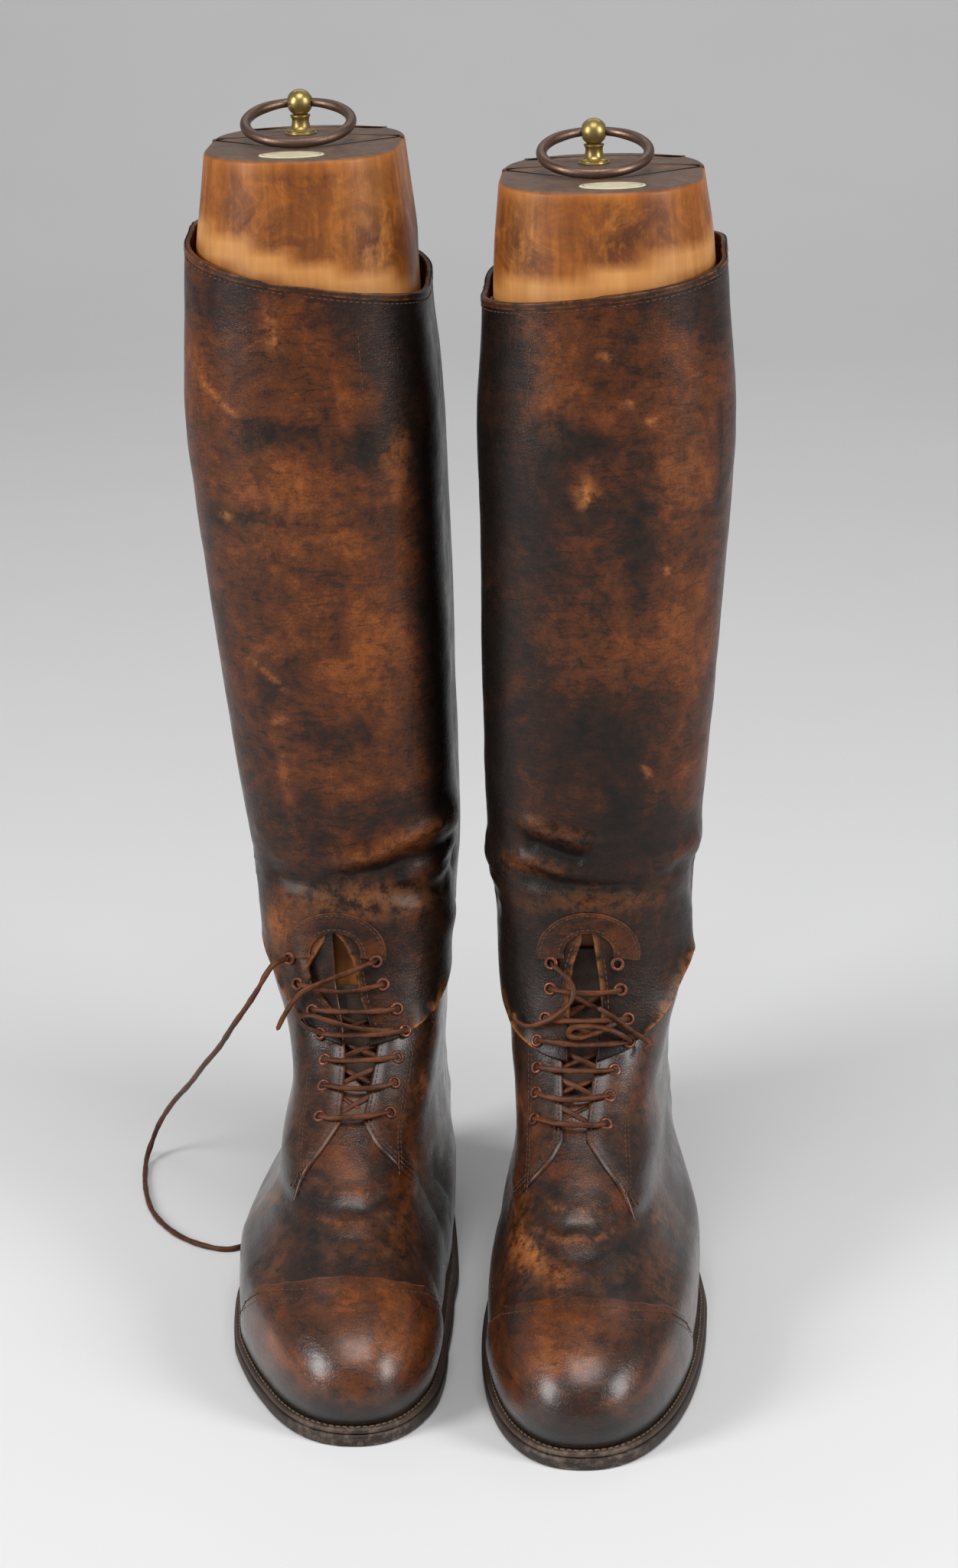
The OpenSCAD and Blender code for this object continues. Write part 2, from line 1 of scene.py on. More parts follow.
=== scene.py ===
"""A pair of lace-up riding boots on wooden boot trees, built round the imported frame.

Each boot is worked out in millimetres in its own axes: toe towards -Y, inner side towards +X,
floor at Z 0. world() puts it in its place in metres, and mirrors the left boot.
On the boot's surface u goes round it (0 front ridge, 1 ball line, 2 heel line, 3 back, positive
on the inner side) and z goes up it. d is the distance outside the lining.
"""
import math

import bmesh
import bpy
import numpy as np
from mathutils import Matrix, Vector

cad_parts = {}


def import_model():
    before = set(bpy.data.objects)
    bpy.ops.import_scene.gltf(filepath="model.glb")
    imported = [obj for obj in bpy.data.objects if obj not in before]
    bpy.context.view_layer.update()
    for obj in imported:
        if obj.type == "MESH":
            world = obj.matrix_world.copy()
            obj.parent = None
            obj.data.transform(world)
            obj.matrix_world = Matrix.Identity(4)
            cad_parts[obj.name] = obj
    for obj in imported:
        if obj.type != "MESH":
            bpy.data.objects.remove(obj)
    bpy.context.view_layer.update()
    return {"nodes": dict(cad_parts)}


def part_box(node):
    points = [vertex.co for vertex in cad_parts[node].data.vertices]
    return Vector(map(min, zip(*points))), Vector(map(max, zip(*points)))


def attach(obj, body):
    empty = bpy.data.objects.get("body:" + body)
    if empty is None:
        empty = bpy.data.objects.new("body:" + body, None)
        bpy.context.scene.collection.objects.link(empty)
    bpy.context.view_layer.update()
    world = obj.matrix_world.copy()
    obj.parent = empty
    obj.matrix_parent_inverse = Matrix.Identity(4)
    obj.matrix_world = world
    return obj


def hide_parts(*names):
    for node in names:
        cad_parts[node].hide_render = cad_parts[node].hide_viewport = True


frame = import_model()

SIDES = ("right", "left")
KNOB_AT = {"right": np.array([-15.0, 26.8]), "left": np.array([-6.0, 26.8])}
MIRROR = {"right": np.array([1.0, 1, 1]), "left": np.array([-1.0, 1, 1])}


def place_of(side):
    low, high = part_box(side + "_knob")
    middle = (np.array(low) + np.array(high))[:2] * 500
    return np.append(middle - KNOB_AT[side] * MIRROR[side][:2], 0)


AT = {side: place_of(side) for side in SIDES}
TOP = {side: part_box(side + "_tree_shin")[1][2] * 1000 for side in SIDES}


def world(side, points):
    return (np.asarray(points, float) * MIRROR[side] + AT[side]) * 0.001


# ---------------------------------------------------------------- camera, stage and lights

def look(position, pitch, azimuth, roll):
    """A camera matrix: pitch is how far it looks down, azimuth how far it stands to the right."""
    p, a, r = (math.radians(v) for v in (pitch, azimuth, roll))
    ahead = Vector((-math.sin(a) * math.cos(p), math.cos(a) * math.cos(p), -math.sin(p)))
    right = Vector((math.cos(a), math.sin(a), 0))
    up = right.cross(ahead)
    x = right * math.cos(r) - up * math.sin(r)
    y = right * math.sin(r) + up * math.cos(r)
    m = Matrix((x, y, -ahead)).transposed().to_4x4()
    m.translation = position
    return m


lens = bpy.data.cameras.new("camera")
lens.sensor_fit = "VERTICAL"
lens.sensor_height = 36
lens.lens = 79.5
lens.clip_end = 60
camera = bpy.data.objects.new("camera", lens)
bpy.context.collection.objects.link(camera)
camera.matrix_world = look((0.1148, -1.5147, 0.790), 19.06, 4.0, 1.8)
bpy.context.scene.camera = camera
bpy.context.scene.view_settings.view_transform = "Standard"


def softbox(name, at, aim, size, watts, tint=(1, 1, 1)):
    light = bpy.data.lights.new(name, "AREA")
    light.shape = "RECTANGLE"
    light.size, light.size_y = size
    light.energy = watts
    light.color = tint
    lamp = bpy.data.objects.new(name, light)
    bpy.context.collection.objects.link(lamp)
    lamp.location = at
    lamp.rotation_euler = (Vector(aim) - Vector(at)).to_track_quat("-Z", "Y").to_euler()


softbox("key_left", (-1.75, -1.15, 1.2), (0, 0, 0.25), (0.7, 1.2), 36)
softbox("key_right", (1.85, -1.0, 1.2), (0, 0, 0.25), (0.7, 1.2), 31)
softbox("overhead", (0.1, -0.75, 2.3), (0, 0, 0.1), (1.1, 1.0), 20)
softbox("backdrop", (0, 1.9, 2.4), (0, 2.3, 0), (2.6, 1.2), 14)
sky = bpy.data.worlds.new("room")
bpy.context.scene.world = sky
sky.use_nodes = True
glow = sky.node_tree.nodes["Background"]
glow.inputs[0].default_value = (0.80, 0.80, 0.81, 1)
glow.inputs[1].default_value = 0.30


# ---------------------------------------------------------------- materials

class Shader:
    """A Principled material, and short ways to add the nodes that feed it."""

    def __init__(self, name, **sockets):
        self.material = bpy.data.materials.new(name)
        self.material.use_nodes = True
        self.tree = self.material.node_tree
        self.tree.nodes.clear()
        self.where = self.node("ShaderNodeTexCoord").outputs["Object"]
        self.shader = self.node("ShaderNodeBsdfPrincipled")
        for key, value in sockets.items():
            self.shader.inputs[key.replace("_", " ")].default_value = value
        end = self.node("ShaderNodeOutputMaterial")
        self.tree.links.new(self.shader.outputs[0], end.inputs[0])

    def node(self, kind, values=None, **settings):
        n = self.tree.nodes.new(kind)
        for key, value in settings.items():
            setattr(n, key, value)
        for key, value in (values or {}).items():
            self.put(n.inputs[key], value)
        return n

    def put(self, socket, value):
        if isinstance(value, bpy.types.NodeSocket):
            self.tree.links.new(value, socket)
        else:
            socket.default_value = value

    def set(self, name, value):
        self.put(self.shader.inputs[name], value)

    def stretched(self, scale):
        return self.node("ShaderNodeMapping", {"Vector": self.where, "Scale": scale}).outputs[0]

    def noise(self, scale, detail=4.0, rough=0.6, where=None, distort=0.0):
        return self.node("ShaderNodeTexNoise", {
            "Vector": where or self.where, "Scale": scale, "Detail": detail, "Roughness": rough,
            "Distortion": distort}).outputs[0]

    def cells(self, scale):
        return self.node("ShaderNodeTexVoronoi", {"Vector": self.where, "Scale": scale},
                         feature="DISTANCE_TO_EDGE").outputs["Distance"]

    def calc(self, how, a, b=0.0, clamp=False):
        return self.node("ShaderNodeMath", {0: a, 1: b}, operation=how, use_clamp=clamp).outputs[0]

    def span(self, value, low, high, to_low=0.0, to_high=1.0):
        return self.node("ShaderNodeMapRange", {
            "Value": value, "From Min": low, "From Max": high, "To Min": to_low,
            "To Max": to_high}).outputs[0]

    def ramp(self, value, stops):
        n = self.node("ShaderNodeValToRGB", {0: value})
        e = n.color_ramp.elements
        while len(e) < len(stops):
            e.new(0.5)
        for k, (at, colour) in enumerate(stops):
            e[k].position = at
            e[k].color = (*colour, 1)
        return n.outputs[0]

    def mix(self, amount, a, b):
        four = [(*c, 1) if isinstance(c, tuple) else c for c in (a, b)]
        return self.node("ShaderNodeMix", {0: amount, 6: four[0], 7: four[1]},
                         data_type="RGBA").outputs[2]

    def field(self, name):
        return self.node("ShaderNodeAttribute", attribute_name=name).outputs["Fac"]

    def bump(self, *layers):
        """Layers of (height, strength, distance)."""
        normal = None
        for height, strength, distance in layers:
            values = {"Height": height, "Strength": strength, "Distance": distance}
            if normal:
                values["Normal"] = normal
            normal = self.node("ShaderNodeBump", values).outputs[0]
        self.set("Normal", normal)


HIDE = [(0.0, (0.007, 0.005, 0.004)), (0.25, (0.024, 0.009, 0.005)), (0.5, (0.090, 0.024, 0.006)),
        (0.75, (0.22, 0.060, 0.011)), (1.0, (0.44, 0.14, 0.03))]
TAN = (0.46, 0.165, 0.045)
# Scratches in three directions: scale, turn
SCRATCHES = (((30, 30, 380), 0.5), ((30, 30, 420), -0.7), ((300, 300, 26), 0.2))


def leather(name, shift=0.0, mottle=0.3, rough=0.36, grain=1.0, coat=0.12, crackle=0.12, shine=0.22):
    """Waxed, worn leather. The fields tone and rub are painted on the mesh."""
    s = Shader(name, IOR=1.45, Specular_IOR_Level=shine, Coat_Weight=coat, Coat_Roughness=0.25)
    big = s.noise(26, 8, 0.66, distort=0.7)
    fine = s.noise(150, 8, 0.74)
    pores = s.cells(620)
    wrinkle = s.noise(1.0, 6, 0.65, s.stretched((110, 110, 360)), 1.0)
    tone = s.calc("ADD", s.field("tone"), shift)
    tone = s.calc("ADD", tone, s.calc("MULTIPLY", s.calc("SUBTRACT", big, 0.5), mottle * 3.5))
    tone = s.calc("ADD", tone, s.calc("MULTIPLY", s.calc("SUBTRACT", fine, 0.5), mottle * 1.8))
    streaks = None
    for k, (scale, turn) in enumerate(SCRATCHES):
        where = s.node("ShaderNodeMapping", {"Vector": s.where, "Scale": scale,
                                             "Rotation": (0, turn, turn)})
        marks = s.noise(1.0, 2, 0.5, where.outputs[0], 2.0)
        line = s.span(s.calc("ABSOLUTE", s.calc("SUBTRACT", marks, 0.5)), 0.0, 0.0032, 1.0, 0.0)
        line = s.calc("MULTIPLY", line, s.span(s.noise(31 + 9 * k, 2, 0.5), 0.54, 0.64))
        streaks = line if streaks is None else s.calc("MAXIMUM", streaks, line)
    tone = s.calc("ADD", tone, s.calc("MULTIPLY", streaks, 0.20))
    tone = s.calc("SUBTRACT", tone, s.span(pores, 0.0, 0.12, 0.09, 0.0))
    tone = s.calc("SUBTRACT", tone, s.span(wrinkle, 0.52, 0.60, 0.0, crackle), clamp=True)
    rub = s.calc("MULTIPLY", s.field("rub"), s.span(fine, 0.42, 0.56))
    rub = s.calc("MINIMUM", rub, 1.0)
    colour = s.mix(rub, s.ramp(tone, HIDE), TAN)
    s.set("Base Color", colour)
    gloss = s.span(s.noise(60, 5, 0.7), 0.3, 0.7, rough - 0.1, rough + 0.14)
    s.set("Roughness", s.calc("ADD", gloss, s.calc("MULTIPLY", rub, 0.25)))
    s.bump((s.span(pores, 0.0, 0.25), 0.16 * grain, 0.0004), (wrinkle, 0.40 * grain, 0.0008),
           (s.noise(420, 5, 0.6), 0.25 * grain, 0.0006), (streaks, -0.1, 0.0003))
    return s.material


def plain_leather(name, dark, light, rough=0.55, scale=90):
    """Leather without painted fields: linings, soles, laces and hidden parts."""
    s = Shader(name, IOR=1.45, Specular_IOR_Level=0.3)
    n = s.noise(scale, 6, 0.65)
    f = s.noise(scale * 7, 4, 0.6)
    s.set("Base Color", s.ramp(s.calc("ADD", s.calc("MULTIPLY", n, 0.7), s.calc("MULTIPLY", f, 0.3)),
                               [(0.32, dark), (0.68, light)]))
    s.set("Roughness", s.span(f, 0.2, 0.8, rough - 0.1, rough + 0.15))
    s.bump((n, 0.25, 0.0008), (f, 0.35, 0.0004))
    return s.material


def sole_leather(name, dark, light):
    """Pressed sole leather, seen in layers at its edge, with scuffs where rub is painted."""
    s = Shader(name, IOR=1.45)
    layers = s.noise(1.0, 3, 0.5, s.stretched((14, 14, 900)), 0.4)
    n = s.noise(75, 6, 0.7)
    f = s.noise(520, 5, 0.6)
    value = s.calc("ADD", s.calc("MULTIPLY", n, 0.6), s.calc("MULTIPLY", layers, 0.4))
    scuff = s.calc("MULTIPLY", s.field("rub"), s.span(s.noise(210, 5, 0.7), 0.46, 0.62))
    s.set("Base Color", s.mix(scuff, s.ramp(value, [(0.35, dark), (0.65, light)]), (0.20, 0.14, 0.10)))
    s.set("Roughness", s.span(n, 0.3, 0.7, 0.42, 0.7))
    s.bump((layers, 0.3, 0.0006), (f, 0.3, 0.0004), (n, 0.3, 0.001))
    return s.material


def wood(name):
    """Old beech: long grain, stain in clouds and runs, clean bands with a painted highlight stripe, and
    grey-brown ends where painted.
    """
    s = Shader(name, IOR=1.5, Specular_IOR_Level=0.25, Coat_Weight=0.05, Coat_Roughness=0.3)
    grain = s.noise(1.0, 6, 0.62, s.stretched((85, 85, 5)), 0.5)
    fleck = s.noise(1.0, 3, 0.5, s.stretched((420, 420, 55)))
    cloud = s.noise(55, 6, 0.72, distort=0.8)
    fine = s.noise(260, 5, 0.7)
    value = s.calc("ADD", s.calc("MULTIPLY", grain, 0.75), s.calc("MULTIPLY", fleck, 0.25))
    colour = s.ramp(value, [(0.3, (0.20, 0.055, 0.008)), (0.5, (0.32, 0.100, 0.016)),
                            (0.7, (0.46, 0.170, 0.034))])
    # Lighter wood in the clean band, and in the painted highlight stripe.
    colour = s.mix(s.field("clean_and_highlight"), colour, s.ramp(value, [(0.3, (0.42, 0.172, 0.045)),
                                                           (0.7, (0.57, 0.275, 0.088))]))
    runs = s.noise(1.0, 4, 0.6, s.stretched((150, 150, 9)), 0.6)
    patch = s.calc("ADD", s.calc("MULTIPLY", cloud, 0.56), s.calc("MULTIPLY", runs, 0.20))
    patch = s.calc("ADD", patch, s.calc("MULTIPLY", fine, 0.24))
    amount = s.calc("MULTIPLY", s.field("stain"), s.span(patch, 0.40, 0.56), clamp=True)
    dirt = s.ramp(fine, [(0.3, (0.035, 0.010, 0.004)), (0.7, (0.13, 0.036, 0.009))])
    colour = s.mix(amount, colour, dirt)
    end = s.ramp(s.calc("ADD", s.calc("MULTIPLY", cloud, 0.5), s.calc("MULTIPLY", fine, 0.5)),
                 [(0.35, (0.055, 0.030, 0.020)), (0.65, (0.17, 0.10, 0.065))])
    s.set("Base Color", s.mix(s.field("end"), colour, end))
    s.set("Roughness", s.span(cloud, 0.3, 0.7, 0.36, 0.55))
    s.bump((fleck, 0.12, 0.0004), (grain, 0.12, 0.0006), (fine, 0.1, 0.0004))
    return s.material


def metal(name, base, tarnish, rough=0.3, amount=0.5, scale=120):
    """Metal with a patina that lies in clouds and fine specks."""
    s = Shader(name)
    n = s.noise(scale, 6, 0.65)
    f = s.noise(scale * 6, 5, 0.6)
    dull = s.calc("ADD", s.span(n, 0.35, 0.7), s.calc("MULTIPLY", s.calc("SUBTRACT", f, 0.5), 0.9))
    dull = s.calc("MULTIPLY", dull, amount, clamp=True)
    s.set("Base Color", s.mix(dull, base, tarnish))
    s.set("Metallic", s.span(dull, 0.0, 1.0, 1.0, 0.55))
    s.set("Roughness", s.span(dull, 0.0, 0.8, rough, rough + 0.25))
    s.bump((f, 0.12, 0.0003), (n, 0.15, 0.0008))
    return s.material


def cloth(name, dark, light):
    """Woven cotton tape."""
    s = Shader(name, Sheen_Weight=0.3)
    warp, weft = (s.node("ShaderNodeTexWave", {"Vector": s.where, "Scale": 420.0, "Distortion": 1.5},
                         bands_direction=way).outputs["Fac"] for way in "XZ")
    weave = s.calc("MULTIPLY", warp, weft)
    worn = s.calc("ADD", weave, s.calc("MULTIPLY", s.noise(90, 4), 0.3), True)
    s.set("Base Color", s.mix(worn, dark, light))
    s.set("Roughness", s.span(weave, 0, 1, 0.9, 0.7))
    s.bump((weave, 0.5, 0.0004))
    return s.material


LEG = leather("leg_hide", mottle=0.30, rough=0.34, coat=0.10)
FOOT = leather("foot_hide", mottle=0.24, rough=0.29, grain=0.9, coat=0.5, crackle=0.10, shine=0.42)
STRAP = leather("strap_hide", shift=-0.05, mottle=0.2)
TONGUE = plain_leather("tongue_hide", (0.02, 0.013, 0.010), (0.085, 0.055, 0.038), 0.6)
INSOLE = plain_leather("insole_hide", (0.20, 0.11, 0.055), (0.34, 0.20, 0.11), 0.7)
CORK = plain_leather("cork_fill", (0.16, 0.085, 0.035), (0.42, 0.26, 0.13), 0.85, 320)
LACE = plain_leather("lace_hide", (0.010, 0.004, 0.0025), (0.15, 0.045, 0.015), 0.46, 60)
THREAD = plain_leather("thread", (0.03, 0.014, 0.009), (0.14, 0.065, 0.035), 0.6, 400)
PALE_THREAD = plain_leather("welt_thread", (0.10, 0.07, 0.045), (0.26, 0.19, 0.12), 0.7, 400)
SOLE = sole_leather("sole_edge", (0.010, 0.007, 0.006), (0.040, 0.026, 0.019))
WELT = sole_leather("welt_edge", (0.020, 0.012, 0.009), (0.075, 0.045, 0.030))
WOOD = wood("tree_beech")
BRASS = metal("brass", (0.50, 0.37, 0.13), (0.13, 0.10, 0.045), 0.26, 0.75)
BRONZE = metal("bronze", (0.20, 0.125, 0.092), (0.075, 0.047, 0.037), 0.34, 0.6)
COPPER = metal("copper", (0.27, 0.10, 0.06), (0.035, 0.015, 0.011), 0.36, 1.0, 260)
STEEL = metal("steel", (0.42, 0.42, 0.42), (0.12, 0.09, 0.07), 0.35, 0.5)
IVORY = plain_leather("ivory", (0.48, 0.42, 0.27), (0.70, 0.64, 0.46), 0.4, 160)
INK = plain_leather("ivory_line", (0.07, 0.05, 0.035), (0.13, 0.10, 0.07), 0.6)
TAPE = cloth("loop_tape", (0.25, 0.18, 0.10), (0.50, 0.40, 0.26))


# ---------------------------------------------------------------- the boot's surface

# Height, toe, ball line, heel line, back, half width at ball, at heel, centre at ball, at heel
LEVELS = np.array([
    (9, -229, -94, 30, 60, 45.5, 30, -3, 0), (20, -232, -94, 30, 61, 47.5, 32, -3, 0),
    (32, -228, -92, 30, 61, 47.5, 32.5, -3, 0), (42, -217, -88, 28, 60, 46, 32.5, -3, 0),
    (50, -200, -84, 26, 59, 41.5, 32.5, -1.2, 0), (57, -181, -79, 25, 58, 37.2, 32, -0.2, 0),
    (70, -151, -69, 23, 56, 32, 31.5, 1.8, 0), (86, -123, -56, 20, 53, 31, 31, 1, 0),
    (104, -93, -43, 17, 49, 30.5, 32, 2, 0), (126, -67, -31, 15, 46, 33.5, 34.5, 2, 0),
    (150, -55, -22, 14, 45, 38, 38.5, 0.5, 0), (175, -49, -15, 14, 46, 40, 40, 0, 0),
    (205, -47, -12, 14, 48, 42.5, 42.5, 0, 0), (250, -49, -12, 14, 53, 45.7, 45.7, -2.3, -2.3),
    (300, -52, -13, 15, 59, 48, 48, -5, -5), (350, -55, -13, 16, 63, 50.5, 50.5, -7.6, -7.6),
    (400, -58, -13, 16, 66, 52, 52, -10, -10), (435, -58.5, -13, 16, 66, 52, 52, -10.8, -10.8),
    (470, -57.5, -13, 16, 64, 49.7, 49.7, -11.2, -11.2), (505, -56, -13, 15, 61, 48, 48, -11, -11),
    (528, -55, -13, 14, 56, 45.3, 45.3, -10.5, -10.5), (560, -53, -13, 12, 49, 41.6, 41.6, -10, -10)],
    float)
# How far the foot's centre line bends towards the inner side, at places along it: y, x
FOOT_BEND = {"right": [(-240, 15), (-200, 10), (-150, 1), (-100, -2), (-60, 1), (-20, 4), (20, 3),
                       (60, 1)],
             "left": [(-240, 5), (-150, 3.5), (-100, 3), (-60, 1.5), (-20, 1), (60, 0)]}
RIM = {"right": (496.5, 14.5), "left": (492.5, 9.0)}   # height, slope
RIM_BACK = 2.2
BEND = 0.87            # power that squares the outlines a little
BEND_TOP, BEND_FADE = 160, 60   # the foot's bend fades out up to the ankle
SEAT = 9.0
LAYER2 = 2.5
LAYER3 = 5.0
LEG_OUT = 7.2
HEEL_H = 19.0


def smooth(t):
    t = np.clip(t, 0, 1)
    return t * t * (3 - 2 * t)


def mix(a, b, t):
    return a + (b - a) * t


def outline_at(z):
    z = np.asarray(z, float)
    i = np.clip(np.searchsorted(LEVELS[:, 0], z, side="right") - 1, 0, len(LEVELS) - 2)
    a = np.maximum(np.arange(len(LEVELS)) - 1, 0)
    b = np.minimum(np.arange(len(LEVELS)) + 1, len(LEVELS) - 1)
    slope = (LEVELS[b] - LEVELS[a]) / (LEVELS[b, 0] - LEVELS[a, 0])[:, None]
    h = (LEVELS[i + 1, 0] - LEVELS[i, 0])[..., None]
    t = (z - LEVELS[i, 0])[..., None] / h
    return (LEVELS[i] * (1 - 3 * t * t + 2 * t ** 3) + LEVELS[i + 1] * (3 * t * t - 2 * t ** 3)
            + slope[i] * h * (t - 2 * t * t + t ** 3) + slope[i + 1] * h * (t ** 3 - t * t))


def heel_rise(y):
    return HEEL_H * smooth((y + 78) / 72)


def quarter_turn(t):
    """cos and sin of t quarter turns, to the outlines' power."""
    w = np.clip(t, 0, 1) * math.pi / 2
    return np.cos(w).clip(0, 1) ** BEND, np.sin(w).clip(0, 1) ** BEND


def lining(u, z):
    u, z = np.broadcast_arrays(np.asarray(u, float), np.asarray(z, float))
    toe, ball, heel, back, wide, wide_heel, mid, mid_heel = np.moveaxis(outline_at(z)[..., 1:], -1, 0)
    a = np.abs(u)
    s = np.where(u < 0, -1.0, 1.0)
    c1, s1 = quarter_turn(a)
    c2, s2 = quarter_turn(a - 2)
    m = smooth(a - 1)
    y = np.where(a <= 1, mix(ball, toe, c1),
                 np.where(a <= 2, mix(ball, heel, a - 1), mix(heel, back, s2)))
    x = np.where(a <= 1, mid + s * wide * s1,
                 np.where(a <= 2, mix(mid, mid_heel, m) + s * mix(wide, wide_heel, m),
                          mid_heel + s * wide_heel * c2))
    return np.stack([x, y, z + heel_rise(y) * np.maximum(0, (100 - z) / 91)], -1)


def normal(u, z):
    u, z = np.broadcast_arrays(np.asarray(u, float), np.asarray(z, float))
    s = np.where(u < 0, -1.0, 1.0)
    step = np.where(np.abs(u) > 1.5, -0.02, 0.02)
    p = lining(u, z)
    n = np.cross((lining(u + s * step, z) - p) / step[..., None], lining(u, z + 1) - p)
    return s[..., None] * n / np.linalg.norm(n, axis=-1, keepdims=True)


def skin(u, z, d):
    return lining(u, z) + np.asarray(d, float)[..., None] * normal(u, z)


def u_at(x, z):
    """u of the point at distance x from the centre line, on the front."""
    return np.sign(x) * np.arcsin((np.abs(x) / outline_at(z)[..., 5]) ** (1 / BEND)) * 2 / math.pi


def wrap(v):
    return np.where(v <= 3, v, v - 6)


def lookup(x, table):
    table = np.asarray(table, float)
    return np.interp(x, table[:, 0], table[:, 1])


def rim(side, u):
    w = np.radians(60 * u)
    return RIM[side][0] - RIM[side][1] * np.sin(w) - RIM_BACK * np.cos(w)


def bent(side, points):
    """The same points with the foot bent towards the inner side, below the ankle."""
    p = np.array(points, float)
    p[..., 0] += lookup(p[..., 1], FOOT_BEND[side]) * smooth((BEND_TOP - p[..., 2]) / BEND_FADE)
    return p


# ---------------------------------------------------------------- noise and painted marks

def noise(points, size, seed, octaves=3):
    """Smooth value noise from -1 to 1, with lumps of the given size in mm."""
    total, weight, strength = 0.0, 0.0, 1.0
    for k in range(octaves):
        q = np.asarray(points, float) / size * 2 ** k
        cell = np.floor(q).astype(np.int64)
        f = smooth(q - cell)
        value = 0.0
        for corner in ((i, j, l) for i in (0, 1) for j in (0, 1) for l in (0, 1)):
            c = cell + corner
            h = (c[..., 0] * 73856093) ^ (c[..., 1] * 19349663) ^ (c[..., 2] * 83492791)
            h = (h ^ (seed + k) * 668265263) & 0xFFFFFFFF
            h = ((h ^ (h >> 15)) * 2246822519) & 0xFFFFFFFF
            h = ((h ^ (h >> 13)) * 3266489917) & 0xFFFFFFFF
            share = np.prod(np.where(np.array(corner) == 1, f, 1 - f), axis=-1)
            value = value + share * ((h ^ (h >> 16)) / 0xFFFFFFFF * 2 - 1)
        total = total + strength * value
        weight += strength
        strength *= 0.55
    return total / weight


def flat(u, z):
    """Millimetres round the front and up, for distances on the surface."""
    return np.asarray(u) * np.interp(z, [60, 100, 180, 300, 430, 500], [92, 66, 60, 72, 80, 74])


def paint(u, z, spots, lines, seed):
    """tone, rub and height that the listed spots and lines add, with ragged edges."""
    x = flat(u, z)
    p = np.stack([x, z, 0 * x], -1)
    wx = x + 5 * noise(p, 14, seed)
    wz = z + 5 * noise(p, 14, seed + 7)
    tone, rub, high = 0 * x, 0 * x, 0 * x
    for su, sz, rx, rz, t, r, h in spots:
        sx = flat(su, sz)
        ragged = np.exp(-((wx - sx) / rx) ** 2 - ((wz - sz) / rz) ** 2)
        tone += t * ragged
        rub = np.maximum(rub, r * ragged)
        high += h * np.exp(-((x - sx) / rx) ** 2 - ((z - sz) / rz) ** 2)
    for u0, z0, u1, z1, w, t, r, h in lines:
        a = np.array([flat(u0, z0), z0])
        b = np.array([flat(u1, z1), z1])
        ab = b - a
        bowed = 2.5 * noise(p, 22, seed + 3, 2)
        q = np.stack([x, z + bowed], -1)
        k = np.clip(((q - a) @ ab) / (ab @ ab), 0, 1)
        away = np.linalg.norm(q - a - k[..., None] * ab, axis=-1)
        fade = np.exp(-(away / w) ** 2) * np.clip(smooth(k * 5) * smooth((1 - k) * 5) + 0.25, 0, 1)
        tone += t * fade
        rub = np.maximum(rub, r * fade)
        high += h * fade
    return tone, rub, high


# ---------------------------------------------------------------- mesh builders

def make(name, side, points, faces, material, body=None, replaces=(), fields=None, sharp=None,
         straight=False):
    """One closed mesh, from points in the boot's millimetres."""
    mesh = bpy.data.meshes.new(name)
    placed = world(side, points if straight else bent(side, points))
    mesh.from_pydata(placed.tolist(), [], [list(f) for f in faces])
    mesh.materials.append(material)
    for key, values in (fields or {}).items():
        field = mesh.attributes.new(key, "FLOAT", "POINT")
        field.data.foreach_set("value", np.asarray(values, np.float32))
    bm = bmesh.new()
    bm.from_mesh(mesh)
    bmesh.ops.recalc_face_normals(bm, faces=bm.faces)
    bm.to_mesh(mesh)
    bm.free()
    mesh.polygons.foreach_set("use_smooth", [True] * len(mesh.polygons))
    if sharp:
        mesh.set_sharp_from_angle(angle=math.radians(sharp))
    piece = bpy.data.objects.new(name, mesh)
    bpy.context.collection.objects.link(piece)
    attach(piece, body or side + "_boot")
    if replaces:
        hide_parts(*replaces)
    return piece


def run_along(points):
    """How far along a line of points each of them lies."""
    return np.concatenate([[0], np.cumsum(np.linalg.norm(np.diff(points, axis=0), axis=1))])


def picked(at, run, points):
    """Points at the given distances along that line."""
    return np.stack([np.interp(at, run, points[:, k]) for k in range(points.shape[1])], -1)


def ring_faces(n, m, closed=False):
    """Faces between n rings of m points. closed joins the last ring to the first."""
    I, K = np.meshgrid(np.arange(n if closed else n - 1), np.arange(m), indexing="ij")
    J, M = (I + 1) % n, (K + 1) % m
    return np.stack([I * m + K, J * m + K, J * m + M, I * m + M], -1).reshape(-1, 4)


def end_faces(n, m):
    return [list(range(m)), list(range((n - 1) * m, n * m))]


def stations(count, length, fine=(0.15, 0.45, 0.9, 1.6)):
    """Places from 0 to 1, with a few close to both ends to round the edges."""
    ends = np.array(fine) / length
    return np.unique(np.round(np.concatenate(
        [[0], ends, np.linspace(2.4 / length, 1 - 2.4 / length, count), 1 - ends, [1]]), 6))


def quads(i, j, at):
    return np.stack([at(i, j), at(i, j + 1), at(i + 1, j + 1), at(i + 1, j)], -1)


